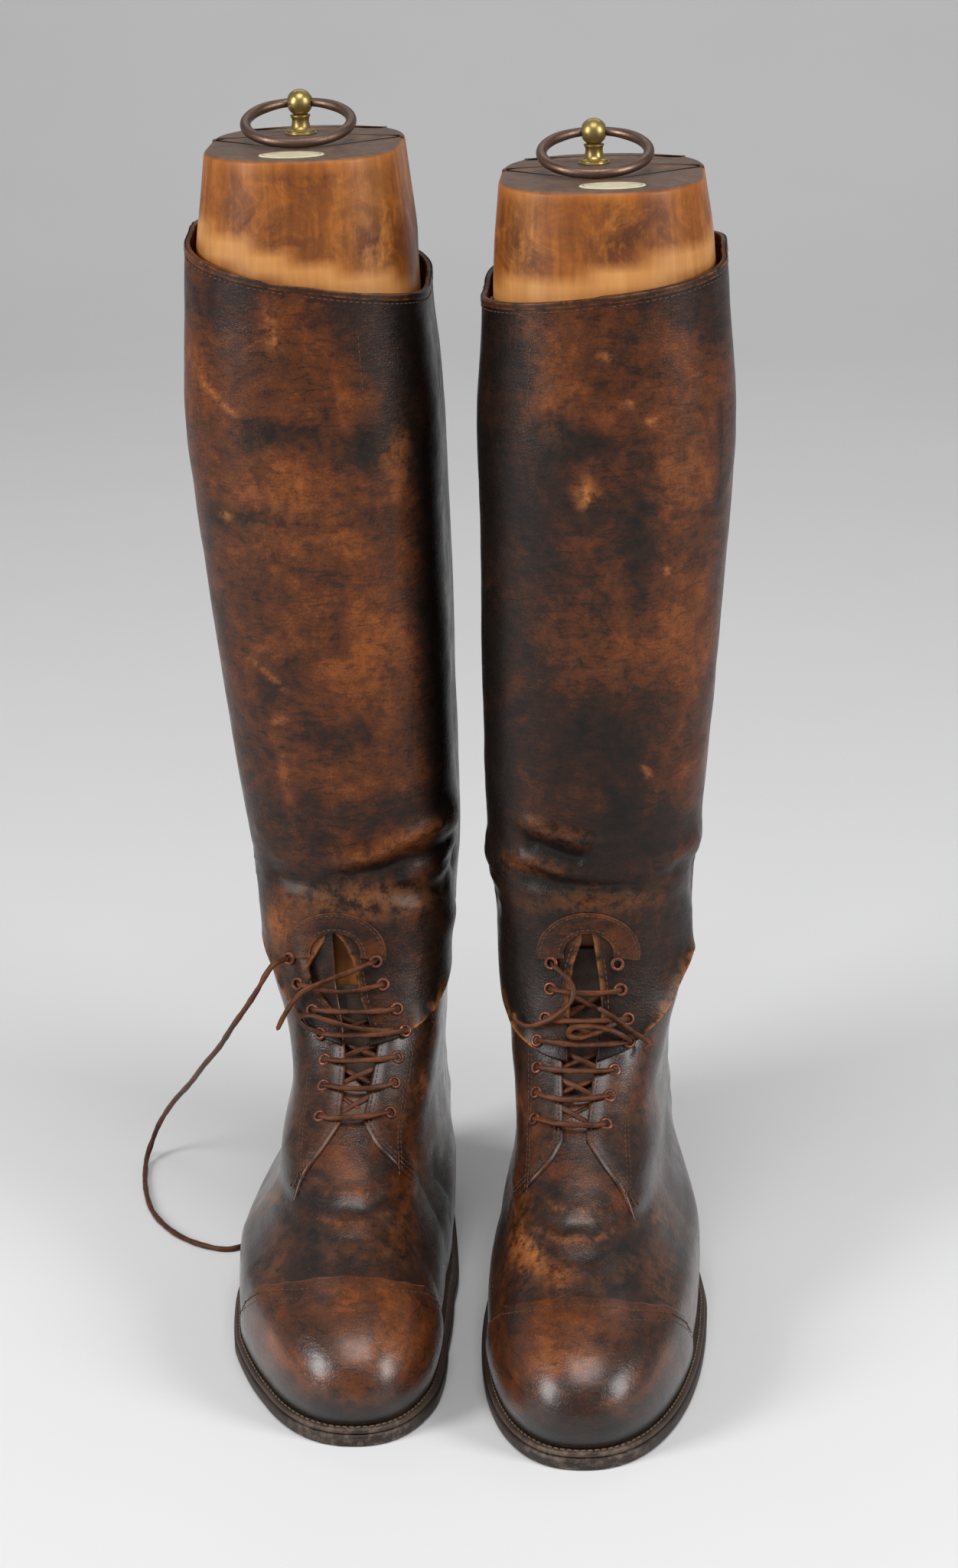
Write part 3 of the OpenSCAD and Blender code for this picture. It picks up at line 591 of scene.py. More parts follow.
def sheet(place, a, b, d0, d1, relief=None, joined_from=None, radius=0.9):
    """A piece of leather between two distances from the lining. Rows from joined_from upwards run
    right round the boot. Gives points, faces, and u, z, distance to the edge and face of each point."""
    A, B = np.meshgrid(a, b, indexing="ij")
    U, Z = place(A, B)
    base = skin(U, Z, 0 * U + d1)
    na, nb = U.shape
    joined_from = nb if joined_from is None else joined_from

    def from_ends(axis):
        step = np.linalg.norm(np.diff(base, axis=axis), axis=-1)
        run = np.concatenate([np.zeros_like(np.take(step, [0], axis)), np.cumsum(step, axis)], axis)
        return np.minimum(run, np.take(run, [-1], axis) - run)

    side_gap = from_ends(0)
    side_gap[:, joined_from:] = 99
    edge = np.minimum(side_gap, from_ends(1))
    t = np.clip(1 - edge / radius, 0, 1)
    drop = radius * (1 - np.sqrt(1 - t * t))
    h = relief(U, Z) if relief else 0 * U
    points = np.concatenate([skin(U, Z, d1 + h - drop).reshape(-1, 3),
                             skin(U, Z, d0 + h).reshape(-1, 3)])

    def at(k):
        return lambda i, j: (k * na + i % na) * nb + j

    I, J = np.meshgrid(np.arange(na), np.arange(nb - 1), indexing="ij")
    keep = (I < na - 1) | (J >= joined_from)
    I, J = I[keep], J[keep]
    faces = [quads(I, J, at(0)), quads(I, J, at(1))[:, ::-1]]
    top = np.arange(na if joined_from < nb else na - 1)
    low = np.arange(na if joined_from == 0 else na - 1)
    out, inn = at(0), at(1)
    for i, j in ((low, 0), (top, nb - 1)):
        faces.append(np.stack([out(i, j), out(i + 1, j), inn(i + 1, j), inn(i, j)], -1))
    j = np.arange(min(joined_from, nb - 1))
    for i in (0, na - 1):
        faces.append(np.stack([out(i, j), out(i, j + 1), inn(i, j + 1), inn(i, j)], -1))
    if 0 < joined_from < nb:
        faces.append([[out(na - 1, joined_from), out(0, joined_from), inn(0, joined_from),
                       inn(na - 1, joined_from)]])
    two = lambda v: np.concatenate([v.ravel(), v.ravel()])
    inside = np.concatenate([np.zeros(U.size), np.ones(U.size)])
    return points, np.concatenate(faces), two(U), two(Z), two(edge), inside


def spline(points, steps):
    """Points on a smooth curve through the given ones."""
    p = np.asarray(points, float)
    p = np.concatenate([[2 * p[0] - p[1]], p, [2 * p[-1] - p[-2]]])
    out = []
    for k in range(1, len(p) - 2):
        for t in np.linspace(0, 1, steps, endpoint=False):
            out.append(0.5 * (2 * p[k] + (p[k + 1] - p[k - 1]) * t
                              + (2 * p[k - 1] - 5 * p[k] + 4 * p[k + 1] - p[k + 2]) * t * t
                              + (3 * p[k] - p[k - 1] - 3 * p[k + 1] + p[k + 2]) * t ** 3))
    return np.array(out + [p[-2]])


def thong(path, wide, thick, up=(0, 0, 1), sides=10, twist=0.0, seed=0):
    """A leather thong along a path, slightly uneven, with rounded ends."""
    path = np.asarray(path, float)
    t = np.gradient(path, axis=0)
    t /= np.linalg.norm(t, axis=1, keepdims=True)
    up = np.broadcast_to(np.asarray(up, float), path.shape)
    e = np.cross(up, t)
    e /= np.linalg.norm(e, axis=1, keepdims=True) + 1e-9
    f = np.cross(t, e)
    n = len(path)
    w = np.linspace(0, 2 * math.pi, sides, endpoint=False)
    run = run_along(path)
    turn = (twist * np.sin(run / 9 + seed))[:, None]
    size = 1 + 0.07 * np.sin(run / 3.1 + seed)[:, None] + 0.05 * np.sin(run / 1.3 + 2 * seed)[:, None]
    ends = np.minimum(run, run[-1] - run) / (0.5 * thick)
    size = size * np.sqrt(1 - np.clip(1 - ends, 0, 0.98) ** 2)[:, None] if n > 3 else size
    cx = wide / 2 * np.sign(np.cos(w)) * np.abs(np.cos(w)) ** 0.75 * size
    cy = thick / 2 * np.sign(np.sin(w)) * np.abs(np.sin(w)) ** 0.75 * size
    c, s = np.cos(turn), np.sin(turn)
    x, y = cx * c - cy * s, cx * s + cy * c
    points = (path[:, None] + x[..., None] * e[:, None] + y[..., None] * f[:, None]).reshape(-1, 3)
    return points, ring_faces(n, sides).tolist() + end_faces(n, sides)


def joined(parts):
    """Several (points, faces) as one."""
    points, faces, start = [], [], 0
    for p, f in parts:
        points.append(p)
        faces += [[v + start for v in face] for face in f]
        start += len(p)
    return np.concatenate(points), faces


def lathe(profile, sides, centre=(0, 0, 0), axis=None):
    """A turned form: profile of (radius, height), closed on its axis where the radius is 0."""
    profile = np.asarray(profile, float)
    w = np.linspace(0, 2 * math.pi, sides, endpoint=False)
    points = np.stack([profile[:, None, 0] * np.cos(w), profile[:, None, 0] * np.sin(w),
                       profile[:, None, 1] + 0 * w], -1).reshape(-1, 3)
    n = len(profile)
    faces = []
    for i in range(n - 1):
        for k in range(sides):
            m = (k + 1) % sides
            faces.append([i * sides + k, i * sides + m, (i + 1) * sides + m, (i + 1) * sides + k])
    if profile[0, 0] > 1e-6 and np.allclose(profile[0], profile[-1]):
        faces = [[v % ((n - 1) * sides) for v in f] for f in faces]
        points = points[:(n - 1) * sides]
    else:
        faces += end_faces(n, sides)
    if axis is not None:
        z = np.asarray(axis, float)
        x = np.cross([0, 0, 1.0], z)
        x = x / np.linalg.norm(x) if np.linalg.norm(x) > 1e-6 else np.array([1.0, 0, 0])
        points = points @ np.stack([x, np.cross(z, x), z])
    return points + np.asarray(centre, float), faces


def sections(rings):
    """A closed form through rings of the same number of points, with both ends filled."""
    rings = np.asarray(rings, float)
    n, m = rings.shape[:2]
    return rings.reshape(-1, 3), ring_faces(n, m).tolist() + end_faces(n, m)


def inset(ring, by):
    """A flat ring of points moved inwards."""
    ring = np.asarray(ring, float)
    t = np.roll(ring, -1, 0)[:, :2] - np.roll(ring, 1, 0)[:, :2]
    area = np.sum(ring[:, 0] * np.roll(ring[:, 1], -1) - ring[:, 1] * np.roll(ring[:, 0], -1))
    n = np.stack([-t[:, 1], t[:, 0]], -1) * np.sign(area)
    n /= np.linalg.norm(n, axis=1, keepdims=True) + 1e-9
    out = ring.copy()
    out[:, :2] += n * by
    return out


# ---------------------------------------------------------------- stitches

def stitch_row(line, d, pitch=3.3, relief=None):
    """Middles, directions and normals of the stitches along a line of (u, z) points."""
    line = np.asarray(line, float)
    k = np.linspace(0, len(line) - 1, 40 * len(line))
    u = np.interp(k, np.arange(len(line)), line[:, 0])
    z = np.interp(k, np.arange(len(line)), line[:, 1])
    h = relief(u, z) if relief else 0
    p = skin(wrap(u), z, d + h + 0 * u)
    n = normal(wrap(u), z)
    run = run_along(p)
    at = np.arange(pitch / 2, run[-1], pitch)
    middles = picked(at, run, p)
    t = picked(at, run, p + np.gradient(p, axis=0) * 0.01) - middles
    return middles, t / np.linalg.norm(t, axis=1, keepdims=True), picked(at, run, n)


def stitches(name, side, rows, material, length=2.5, wide=0.42, high=0.34):
    """One small rounded bar for each stitch."""
    c, t, n = (np.concatenate([r[k] for r in rows]) for k in range(3))
    b = np.cross(n, t)
    spin = np.random.RandomState(5).uniform(-0.12, 0.12, len(c))[:, None]
    t = t + spin * b
    around = np.linspace(0, 2 * math.pi, 6, endpoint=False)
    base = []
    for along, size in ((-0.5, 0.35), (-0.4, 0.85), (0, 1.0), (0.4, 0.85), (0.5, 0.35)):
        for w in around:
            dip = -0.25 if abs(along) > 0.45 else 0.0
            base.append((along * length, wide * size * math.cos(w), high * size * math.sin(w) + dip))
    base = np.array(base)
    points = (c[:, None] + base[None, :, 0, None] * t[:, None] + base[None, :, 1, None] * b[:, None]
              + base[None, :, 2, None] * n[:, None]).reshape(-1, 3)
    one = [[i * 6 + k, (i + 1) * 6 + k, (i + 1) * 6 + (k + 1) % 6, i * 6 + (k + 1) % 6]
           for i in range(4) for k in range(6)]
    faces = (np.array(one)[None] + 30 * np.arange(len(c))[:, None, None]).reshape(-1, 4).tolist()
    for s in range(len(c)):
        faces += [[30 * s + k for k in range(6)], [30 * s + 24 + k for k in range(6)]]
    return make(name, side, points, faces, material)


# ---------------------------------------------------------------- the leg

# Slit edges as (height, u), eyelets as (height, inner x, outer x), and the tab's centre
INNER_EDGE = {"right": [(110, 0.12), (130, 0.10), (142, 0.05), (162, 0.01), (172, -0.03), (177, -0.09)],
              "left": [(110, 0.12), (140, 0.12), (155, 0.12), (167, 0.10), (178, 0.05), (186, 0.03)]}
OUTER_EDGE = {"right": [(110, -0.08), (130, -0.09), (141, -0.14), (150, -0.25), (159, -0.26),
                        (172, -0.15), (177, -0.13)],
              "left": [(110, -0.08), (140, -0.07), (160, -0.04), (172, -0.02), (186, 0.0)]}
ROWS = {"right": [(162, 11, -25), (150, 13.5, -22), (138, 18, -17), (127, 20.5, -15), (117, 18.5, -13),
                  (108, 18, -12), (98, 18, -11.5)],
        "left": [(168, 16.5, -11), (155, 17, -12.5), (141, 18, -16), (130, 20.5, -17.5),
                 (119, 20.5, -13), (110, 20, -11.5), (101, 20, -10.5)]}
TAB = {"right": (-6, 166), "left": (1, 173)}
LEG_EDGE = {1: [(0, 122), (0.3, 124), (0.45, 127), (0.6, 132), (0.8, 141), (1.2, 156), (1.5, 164),
                (2, 168), (3, 170)],
            -1: [(0, 122), (0.3, 126), (0.4, 132), (0.55, 143), (0.7, 157), (0.85, 164), (1.2, 167),
                 (1.5, 168), (2, 169), (3, 170)]}

# Marks on the leg: u, z, half width, half height, tone, rub, height (mm)
# The spot sunk into the ankle crease at u 0.22, z 207 on the right leg is darkened: painted shade.
LEG_SPOTS = {
    "right": [
        (-0.10, 473, 3, 8, 0.1, 0.8, 0), (0.42, 455, 16, 34, -0.25, 0, 0),
        (0.31, 419, 9, 9, -0.4, 0, 0), (0.48, 410, 6, 16, 0.25, 0.2, 0),
        (-0.14, 426, 18, 6, -0.3, 0, 0), (-0.15, 392, 22, 30, 0.10, 0.1, 0),
        (-0.47, 383, 4, 2, 0.2, 0.6, 0), (-0.28, 462, 22, 12, -0.1, 0, 0),
        (0.3, 330, 16, 55, 0.2, 0.05, 0), (0.2, 290, 22, 40, 0.10, 0, 0),
        (0.1, 335, 3, 15, -0.25, 0, 0), (-0.28, 286, 3, 3, 0.15, 0.3, 0),
        (-0.2, 217, 22, 8, 0.05, 0, 1.6), (0.22, 207, 13, 6, -0.3, 0, -0.8),
        (0.1, 192, 34, 9, 0.16, 0.25, 0.8), (-0.6, 300, 20, 90, -0.12, 0, 0),
        (-0.5, 430, 26, 50, 0.02, 0, 0), (0.9, 226, 14, 9, 0, 0, 2.6), (1.0, 200, 14, 7, 0, 0, -2.8),
        (0.9, 174, 14, 9, 0, 0.1, 2.6), (-0.55, 176, 16, 12, 0.2, 0.2, 1.0)],
    "left": [
        (0.22, 427, 11, 8, -0.42, 0, 0), (0.06, 425, 9, 7, -0.42, 0, 0),
        (0.25, 447, 9, 22, 0.24, 0.15, 0), (0.07, 401, 2.5, 8, 0.3, 0.8, 0),
        (0.03, 390, 12, 6, -0.3, 0, 0), (-0.01, 462, 2, 2, 0.2, 0.6, 0),
        (-0.09, 443, 2, 2, 0.2, 0.6, 0), (-0.22, 432, 2.5, 2, 0.2, 0.7, 0),
        (-0.34, 365, 2, 2, 0.2, 0.7, 0), (-0.41, 403, 15, 32, 0.16, 0.08, 0),
        (-0.2, 375, 5, 45, -0.22, 0, 0), (-0.06, 284, 20, 32, -0.2, 0, 0),
        (-0.10, 335, 22, 36, 0.12, 0.05, 0), (0.32, 402, 12, 40, -0.22, 0, 0),
        (0.46, 216, 9, 6, 0.2, 0.2, 0.8), (-0.04, 198, 30, 7, 0.08, 0.12, 0.6),
        (-0.5, 300, 26, 70, 0.06, 0, 0), (-0.9, 196, 16, 9, 0, 0, -2.2), (-0.9, 220, 16, 10, 0, 0, 1.6),
        (0.9, 190, 12, 8, 0, 0, -2.4), (0.9, 215, 12, 9, 0, 0, 2.2), (0.35, 460, 14, 24, -0.1, 0, 0)]}
# Lines on the leg: from u, z to u, z, half width, tone, rub, height (mm)
# Lines with a negative height are creases, and their negative tone is painted shade in them.
LEG_LINES = {
    "right": [
        (-0.67, 385, 0.52, 385, 6, -0.2, 0, 0), (-0.29, 279, 0.25, 279, 6, -0.14, 0, 0),
        (-0.29, 275, -0.29, 237, 2.5, 0.14, 0.1, 0), (-0.1, 214, 0.75, 229, 4.5, 0.14, 0.12, 2.3),
        (-0.63, 204, 0.1, 197, 5, -0.26, 0, -2.2), (0.1, 198, 0.9, 190, 5, -0.26, 0, -2.6),
        (0.1, 207, 0.9, 216, 3.5, -0.18, 0, -1.8), (-0.6, 450, -0.3, 433, 1.2, 0.2, 0.4, 0),
        (-0.4, 315, -0.2, 301, 1.2, 0.2, 0.4, 0), (-0.7, 225, -0.2, 228, 5, 0.05, 0, 1.0)],
    "left": [
        (0.46, 238, -0.03, 233, 4.5, 0.1, 0.12, 2.2), (0.42, 227, 0.0, 221, 4, -0.3, 0, -2.6),
        (0.5, 219, 0.1, 216, 4, 0.1, 0.1, 1.4), (0.5, 210, -0.37, 205, 4.5, -0.28, 0, -2.2),
        (-0.38, 388, -0.76, 388, 2, -0.2, 0.05, -0.4), (-0.68, 440, -0.68, 385, 2, -0.22, 0, 0),
        (-0.3, 215, -0.9, 222, 6, 0.04, 0.05, 1.3), (-0.25, 270, -0.32, 262, 1.2, 0.2, 0.4, 0),
        (-0.5, 212, -1.1, 205, 5, -0.1, 0, -1.2)]}
# The leg's outer flap below the slit stands away from the foot: how far, and over which u
FLARE = {"right": (0.8, 1.6), "left": (3.8, 1.0)}
# How light each leg is, then how much it darkens, and from which u, on its inner and outer side
LEG_SHADE = {"right": (0.46, 0.42, 0.42, 0.12, 0.75), "left": (0.375, 0.36, 0.38, 0.10, 0.8)}


def lower_edge(u):
    """Height of the leg's raw lower edge."""
    return np.where(u < 0, lookup(np.abs(u), LEG_EDGE[-1]), lookup(np.abs(u), LEG_EDGE[1]))


def leg_points(u, z):
    """Places for noise on the leg, with its two back halves apart."""
    return np.stack([flat(u, z), z, 40.0 * np.sign(u) * (np.abs(u) > 1.5)], -1)


def leg_relief(side):
    outer_flare, inner_flare = FLARE[side]

    def relief(u, z):
        p = leg_points(u, z)
        h = paint(u, z, LEG_SPOTS[side], LEG_LINES[side], 11)[2]
        h = h + 0.9 * noise(p, 70, 21, 2) + 0.35 * noise(p, 18, 31, 2)
        near = np.exp(-((z - 204) / 17) ** 2)
        wander = np.stack([0 * z, 3 * noise(p, 20, 5, 2), 0 * z], -1)
        creases = noise(p * (0.35, 1, 1) + wander, 4.2, 41, 2)
        h = h + 0.75 * near * creases * np.exp(-(np.maximum(np.abs(u) - 0.9, 0) / 0.4) ** 2)
        low = lower_edge(u)
        h = h - 1.9 * np.exp(-(np.maximum(z - low, 0) / 7) ** 2) * smooth((0.5 - np.abs(u)) / 0.15)
        flap = np.exp(-np.maximum(z - low, 0) / 9) * smooth((np.abs(u) - 0.25) / 0.25)
        flap *= smooth((1.25 - np.abs(u)) / 0.4)
        h = h + flap * np.where(u < 0, outer_flare, inner_flare)
        h = h + flap * 1.0 * noise(p, 16, 51, 2)
        slit = np.exp(-((z - 155) / 16) ** 2)
        if side == "right":
            h = h + 3.2 * slit * np.exp(-((u + 0.30) / 0.13) ** 2)
        return h + 0.8 * slit * np.exp(-((np.abs(u) - 0.12) / 0.1) ** 2)

    return relief


def leg_fields(side, u, z, edge, inside):
    tone, rub, high = paint(u, z, LEG_SPOTS[side], LEG_LINES[side], 11)
    p = leg_points(u, z)
    light, inner_dark, inner_from, outer_dark, outer_from = LEG_SHADE[side]
    ragged = 0.10 * noise(p, 30, 61, 3)
    base = light + 0.13 * noise(p * (1, 0.5, 1), 55, 71, 3) + 0.06 * noise(p, 9, 81, 2)
    base -= (inner_dark * smooth((u + ragged - inner_from) / 0.3)
             + outer_dark * smooth((-u + ragged - outer_from) / 0.4))
    base -= 0.16 * smooth((z - 466 + 60 * ragged) / 22)
    base -= 0.16 * smooth((262 - z + 60 * ragged) / 40)
    base -= 0.10 * smooth((np.abs(u) - 1.3) / 0.5)
    # Painted light: raised folds are made lighter in proportion to their height.
    raised = np.clip(high, 0, 3) / 3
    tone = base + tone + 0.10 * raised
    low = lower_edge(u)
    raw = np.exp(-(np.maximum(z - low, 0) / 1.6) ** 2)
    worn = np.exp(-(np.maximum(z - low, 0) / 7) ** 2) * (0.25 + 0.5 * noise(p, 8, 91, 2))
    slit_wear = np.exp(-(edge / 2.0) ** 2) * (z < 190) * (np.abs(u) < 0.4) * smooth((z - 132) / 14)
    away = smooth((np.abs(u) - 0.36) / 0.1)
    rub = np.maximum.reduce([rub, 0.95 * raw * away, worn * away, 0.45 * slit_wear])
    tone -= 0.15 * np.exp(-(edge / 3.0) ** 2) * (1 - away) * (z < 150)
    tone = np.where(inside > 0, 0.55, tone)
    rub = np.where(inside > 0, 0.35, rub)
    return {"tone": np.clip(tone, 0.02, 1), "rub": np.clip(rub, 0, 1)}


def leg_place(side):
    inner, outer = INNER_EDGE[side], OUTER_EDGE[side]
    top = inner[-1][0]
    low_part = 0.17

    def place(a, b):
        turn = np.interp(a, [0, 0.09, 0.5, 0.91, 1], [0.05, 0.45, 3, 5.55, 5.95])
        low = lower_edge(wrap(turn))
        z = np.where(b <= low_part, mix(low, top, b / low_part),
                     mix(top, rim(side, wrap(turn)), (b - low_part) / (1 - low_part)))
        e0 = lookup(z, inner)
        e1 = 6 + lookup(z, outer)
        v = np.where(a < 0.09, mix(e0, 0.45, a / 0.09),
                     np.where(a > 0.91, mix(5.55, e1, (a - 0.91) / 0.09), turn))
        return wrap(v), z

    low_mm, high_mm = 55, 320
    rows_low = np.unique(np.concatenate([[0, 0.15 / low_mm, 0.5 / low_mm, 1.1 / low_mm],
                                         np.linspace(2.2 / low_mm, 1, 30)]))
    rows_high = np.unique(np.concatenate([np.linspace(0, 1 - 2.5 / high_mm, 165),
                                          1 - np.array([1.5, 0.8, 0.4, 0.15, 0]) / high_mm]))
    b = np.concatenate([rows_low * low_part, low_part + rows_high[1:] * (1 - low_part)])
    a = np.unique(np.concatenate([[0, 0.0004, 0.0012, 0.0025, 0.0045], np.linspace(0.008, 0.09, 14),
                                  np.linspace(0.09, 0.91, 180), np.linspace(0.91, 0.992, 14),
                                  1 - np.array([0.0045, 0.0025, 0.0012, 0.0004, 0])]))
    return place, a, b, len(rows_low)


LEG_RELIEF = {side: leg_relief(side) for side in SIDES}

for side in SIDES:
    place, a, b, joined_row = leg_place(side)
    points, faces, U, Z, edge, inside = sheet(place, a, b, LAYER3, LEG_OUT, LEG_RELIEF[side], joined_row)
    make(side + "_leg_leather", side, points, faces, LEG, replaces=[side + "_leg"],
         fields=leg_fields(side, U, Z, edge, inside))


# ---------------------------------------------------------------- the foot's leather

VAMP_TOP = [(0, 112), (0.2, 105), (0.4, 94), (0.62, 82), (0.85, 71), (1, 60), (1.12, 47), (1.25, 32)]
CAP_TOP = [(0, 56.5), (0.2, 55), (0.4, 51), (0.55, 46), (0.65, 39), (0.7, 32.5), (0.74, 23)]
QUARTER_FRONT = {-1: [(9, 1.1), (30, 1), (50, 0.85), (65, 0.62), (80, 0.4), (90, 0.2), (97, 0.08),
                      (125, 0.12), (150, 0.15), (186, 0.15)],
                 1: [(9, 1.15), (30, 1.1), (50, 0.98), (65, 0.76), (80, 0.44), (90, 0.2), (97, 0.08),
                     (125, 0.12), (150, 0.15), (186, 0.15)]}
FRONT_SHIFT = 0.05
VAMP_HALF, CAP_HALF = 1.24, 0.74        # how far round the vamp and the toe cap reach
QUARTER_LOW, QUARTER_TOP, QUARTER_BACK = 10.2, 186, 2.97
CAP_TONE = {"right": 0.42, "left": 0.34}
TAB_TONE = {"right": 0.44, "left": 0.38}
TONGUE_TOP = {"right": 150, "left": 174}
TAB_RADII = (10.5, 21.5)
BINDING_END = 5.985     # where the binding ends, of 6 round the leg

VAMP_SPOTS = {
    "right": [(-0.3, 70, 22, 9, -0.12, 0, 0), (0.0, 66, 30, 5, 0.05, 0.08, 0.3),
              (0.45, 60, 16, 8, 0.03, 0.15, 0), (-0.55, 52, 12, 12, 0.08, 0.15, 0),
              (0.1, 78, 18, 5, 0.04, 0.05, 0.5)],
    "left": [(0.42, 62, 20, 6, 0.2, 0.85, 0), (0.24, 61, 18, 3, 0.15, 0.7, 0),
             (-0.25, 60, 26, 3, 0.05, 0.15, 0), (-0.6, 52, 14, 12, 0.02, 0.2, 0),
             (0.6, 70, 14, 11, 0.12, 0.4, 0), (0.0, 74, 24, 8, -0.05, 0.05, 0.6)]}
# Flex creases on the vamp: the sunk lines carry a darker tone, which is painted shade.
VAMP_LINES = {
    "right": [(-0.95, 60, 0.9, 59, 1.4, 0.01, 0, 0.6), (-0.9, 64.5, 0.9, 64, 1.0, -0.07, 0, -0.7),
              (-0.9, 68.5, 0.85, 68, 1.4, 0.01, 0.03, 0.6), (-0.85, 72.5, 0.8, 72, 1.0, -0.07, 0, -0.7),
              (-0.8, 77, 0.8, 77, 1.4, 0.01, 0.02, 0.6), (-0.75, 81.5, 0.7, 81.5, 1.0, -0.06, 0, -0.6),
              (-0.7, 85.5, 0.7, 86, 1.4, 0.01, 0.02, 0.5)],
    "left": [(-0.95, 59, 0.9, 60, 1.4, 0.01, 0.04, 0.6), (-0.9, 64, 0.9, 65, 1.0, -0.08, 0, -0.8),
             (-0.9, 68.5, 0.85, 69, 1.4, 0.01, 0.05, 0.7), (-0.85, 73, 0.8, 73.5, 1.0, -0.07, 0, -0.7),
             (-0.8, 77.5, 0.8, 78, 1.4, 0.01, 0.03, 0.6), (-0.75, 82, 0.7, 82.5, 1.0, -0.07, 0, -0.7),
             (-0.7, 86, 0.7, 87, 1.4, 0.01, 0.02, 0.5)]}
CAP_SPOTS = {
    "right": [(0.05, 36, 22, 10, 0.22, 0.05, 0), (0.3, 42, 14, 9, 0.16, 0.05, 0),
              (-0.4, 34, 16, 12, 0.02, 0, 0), (0.0, 15, 40, 6, -0.12, 0, 0),
              (-0.1, 27, 16, 6, 0.1, 0.1, 0)],
    "left": [(0.1, 44, 24, 9, 0.2, 0.05, 0), (-0.15, 32, 18, 9, 0.12, 0.05, 0),
             (0.3, 26, 14, 9, 0.05, 0, 0), (0.0, 14, 40, 6, -0.14, 0, 0)]}


def foot_points(u, z):
    return np.stack([np.asarray(u) * 62, np.asarray(z) * 1.6, 0 * np.asarray(z) + 0.0], -1)


def vamp_relief(side):
    def relief(u, z):
        p = foot_points(u, z)
        h = paint(u, z, VAMP_SPOTS[side], VAMP_LINES[side], 17)[2]
        flex = np.exp(-((z - 70) / 13) ** 2) * np.exp(-(np.maximum(np.abs(u) - 0.75, 0) / 0.15) ** 2)
        fine = noise(p * (0.28, 1, 1) + np.stack([0 * z, 3 * noise(p, 24, 5, 2), 0 * z], -1), 3.4, 43, 2)
        return flex * (h * 0.45 + 0.5 * fine) + 0.25 * noise(p, 34, 23, 2)
    return relief


def smooth_relief(amount, size, seed):
    def relief(u, z):
        return amount * noise(foot_points(u, z), size, seed, 2)
    return relief


def hide_fields(base, mottle, spots, lines, seed, edge_wear=0.5, low_dark=0.1, wear_above=0):
    def fields(u, z, edge, inside):
        p = foot_points(u, z)
        tone, rub, high = paint(u, z, spots, lines, seed)
        tone = base + tone + mottle * noise(p, 26, seed + 2, 3) + 0.5 * mottle * noise(p, 7, seed + 4, 2)
        # Painted light and shade: raised parts are made lighter and sunk creases darker, in proportion
        # to their height.
        tone += 0.06 * np.clip(high, -1.5, 1.5)
        tone -= low_dark * np.exp(-((z - 12) / 8) ** 2)
        wear = np.exp(-(edge / 0.7) ** 2) * edge_wear * (0.6 + 0.8 * noise(p, 9, seed + 6, 2))
        wear = wear * smooth((z - wear_above) / 8 + 1)
        rub = np.maximum(rub * (0.65 + 0.6 * noise(p, 8, seed + 8, 2)), wear)
        rub += 0.5 * np.clip(high - 0.5, 0, 1) * (noise(p, 6, seed + 9, 2) > 0)
        return {"tone": np.clip(np.where(inside > 0, 0.5, tone), 0.02, 1), "rub": np.clip(rub, 0, 1)}
    return fields


def leather_piece(name, side, place, sizes, counts, d0, d1, material, fields, relief=None,
                  replaces=(), joined_from=None, radius=0.9):
    a = stations(counts[0], sizes[0])
    b = stations(counts[1], sizes[1])
    points, faces, U, Z, edge, inside = sheet(place, a, b, d0, d1, relief, joined_from, radius)
    return make(name, side, points, faces, material, replaces=replaces,
                fields=fields(U, Z, edge, inside))


def thinned(relief, d1, d_edge, width, distance):
    """Relief that lets a piece's outer face sink to d_edge at its open edge."""
    def result(u, z):
        return relief(u, z) + (d_edge - d1) * np.exp(-(distance(u, z) / width) ** 2)
    return result


def quarter_relief(sign):
    """The front edge is skived, and below the facing's tip it runs out flush with the vamp."""
    rough = smooth_relief(0.75, 27, 9 + sign)

    def relief(u, z):
        away = 60 * np.maximum(np.abs(u) - lookup(z, QUARTER_FRONT[sign]) - sign * FRONT_SHIFT, 0)
        low = smooth((76 - z) / 8)
        return rough(u, z) - mix(0.7, 2.4, low) * np.exp(-(away / mix(4, 15, low)) ** 2)
    return relief


def over_toes(half, low, top):
    """Places on a piece that wraps the front of the foot, up to a line."""
    def place(a, b):
        u = mix(-half, half, a)
        return u, mix(low, lookup(np.abs(u), top), b)
    return place


def back_strip(half, z0, z1):
    """Places on an upright strip over the back seam."""
    return lambda a, b: (wrap(mix(3 - half, 3 + half, a)), mix(z0, z1, b))


def binding_place(side):
    """Places round the rim, from the front all the way round to just before it again."""
    def place(a, b):
        u = wrap(mix(0.0, BINDING_END, a))
        return u, rim(side, u) - mix(3.2, 0.2, b)
    return place


def quarter_place(sign):
    def place(a, b):
        z = mix(QUARTER_LOW, QUARTER_TOP, b)
        front = lookup(z, QUARTER_FRONT[sign]) + sign * FRONT_SHIFT
        u = mix(front, QUARTER_BACK, a if sign > 0 else 1 - a)
        return sign * u, z
    return place


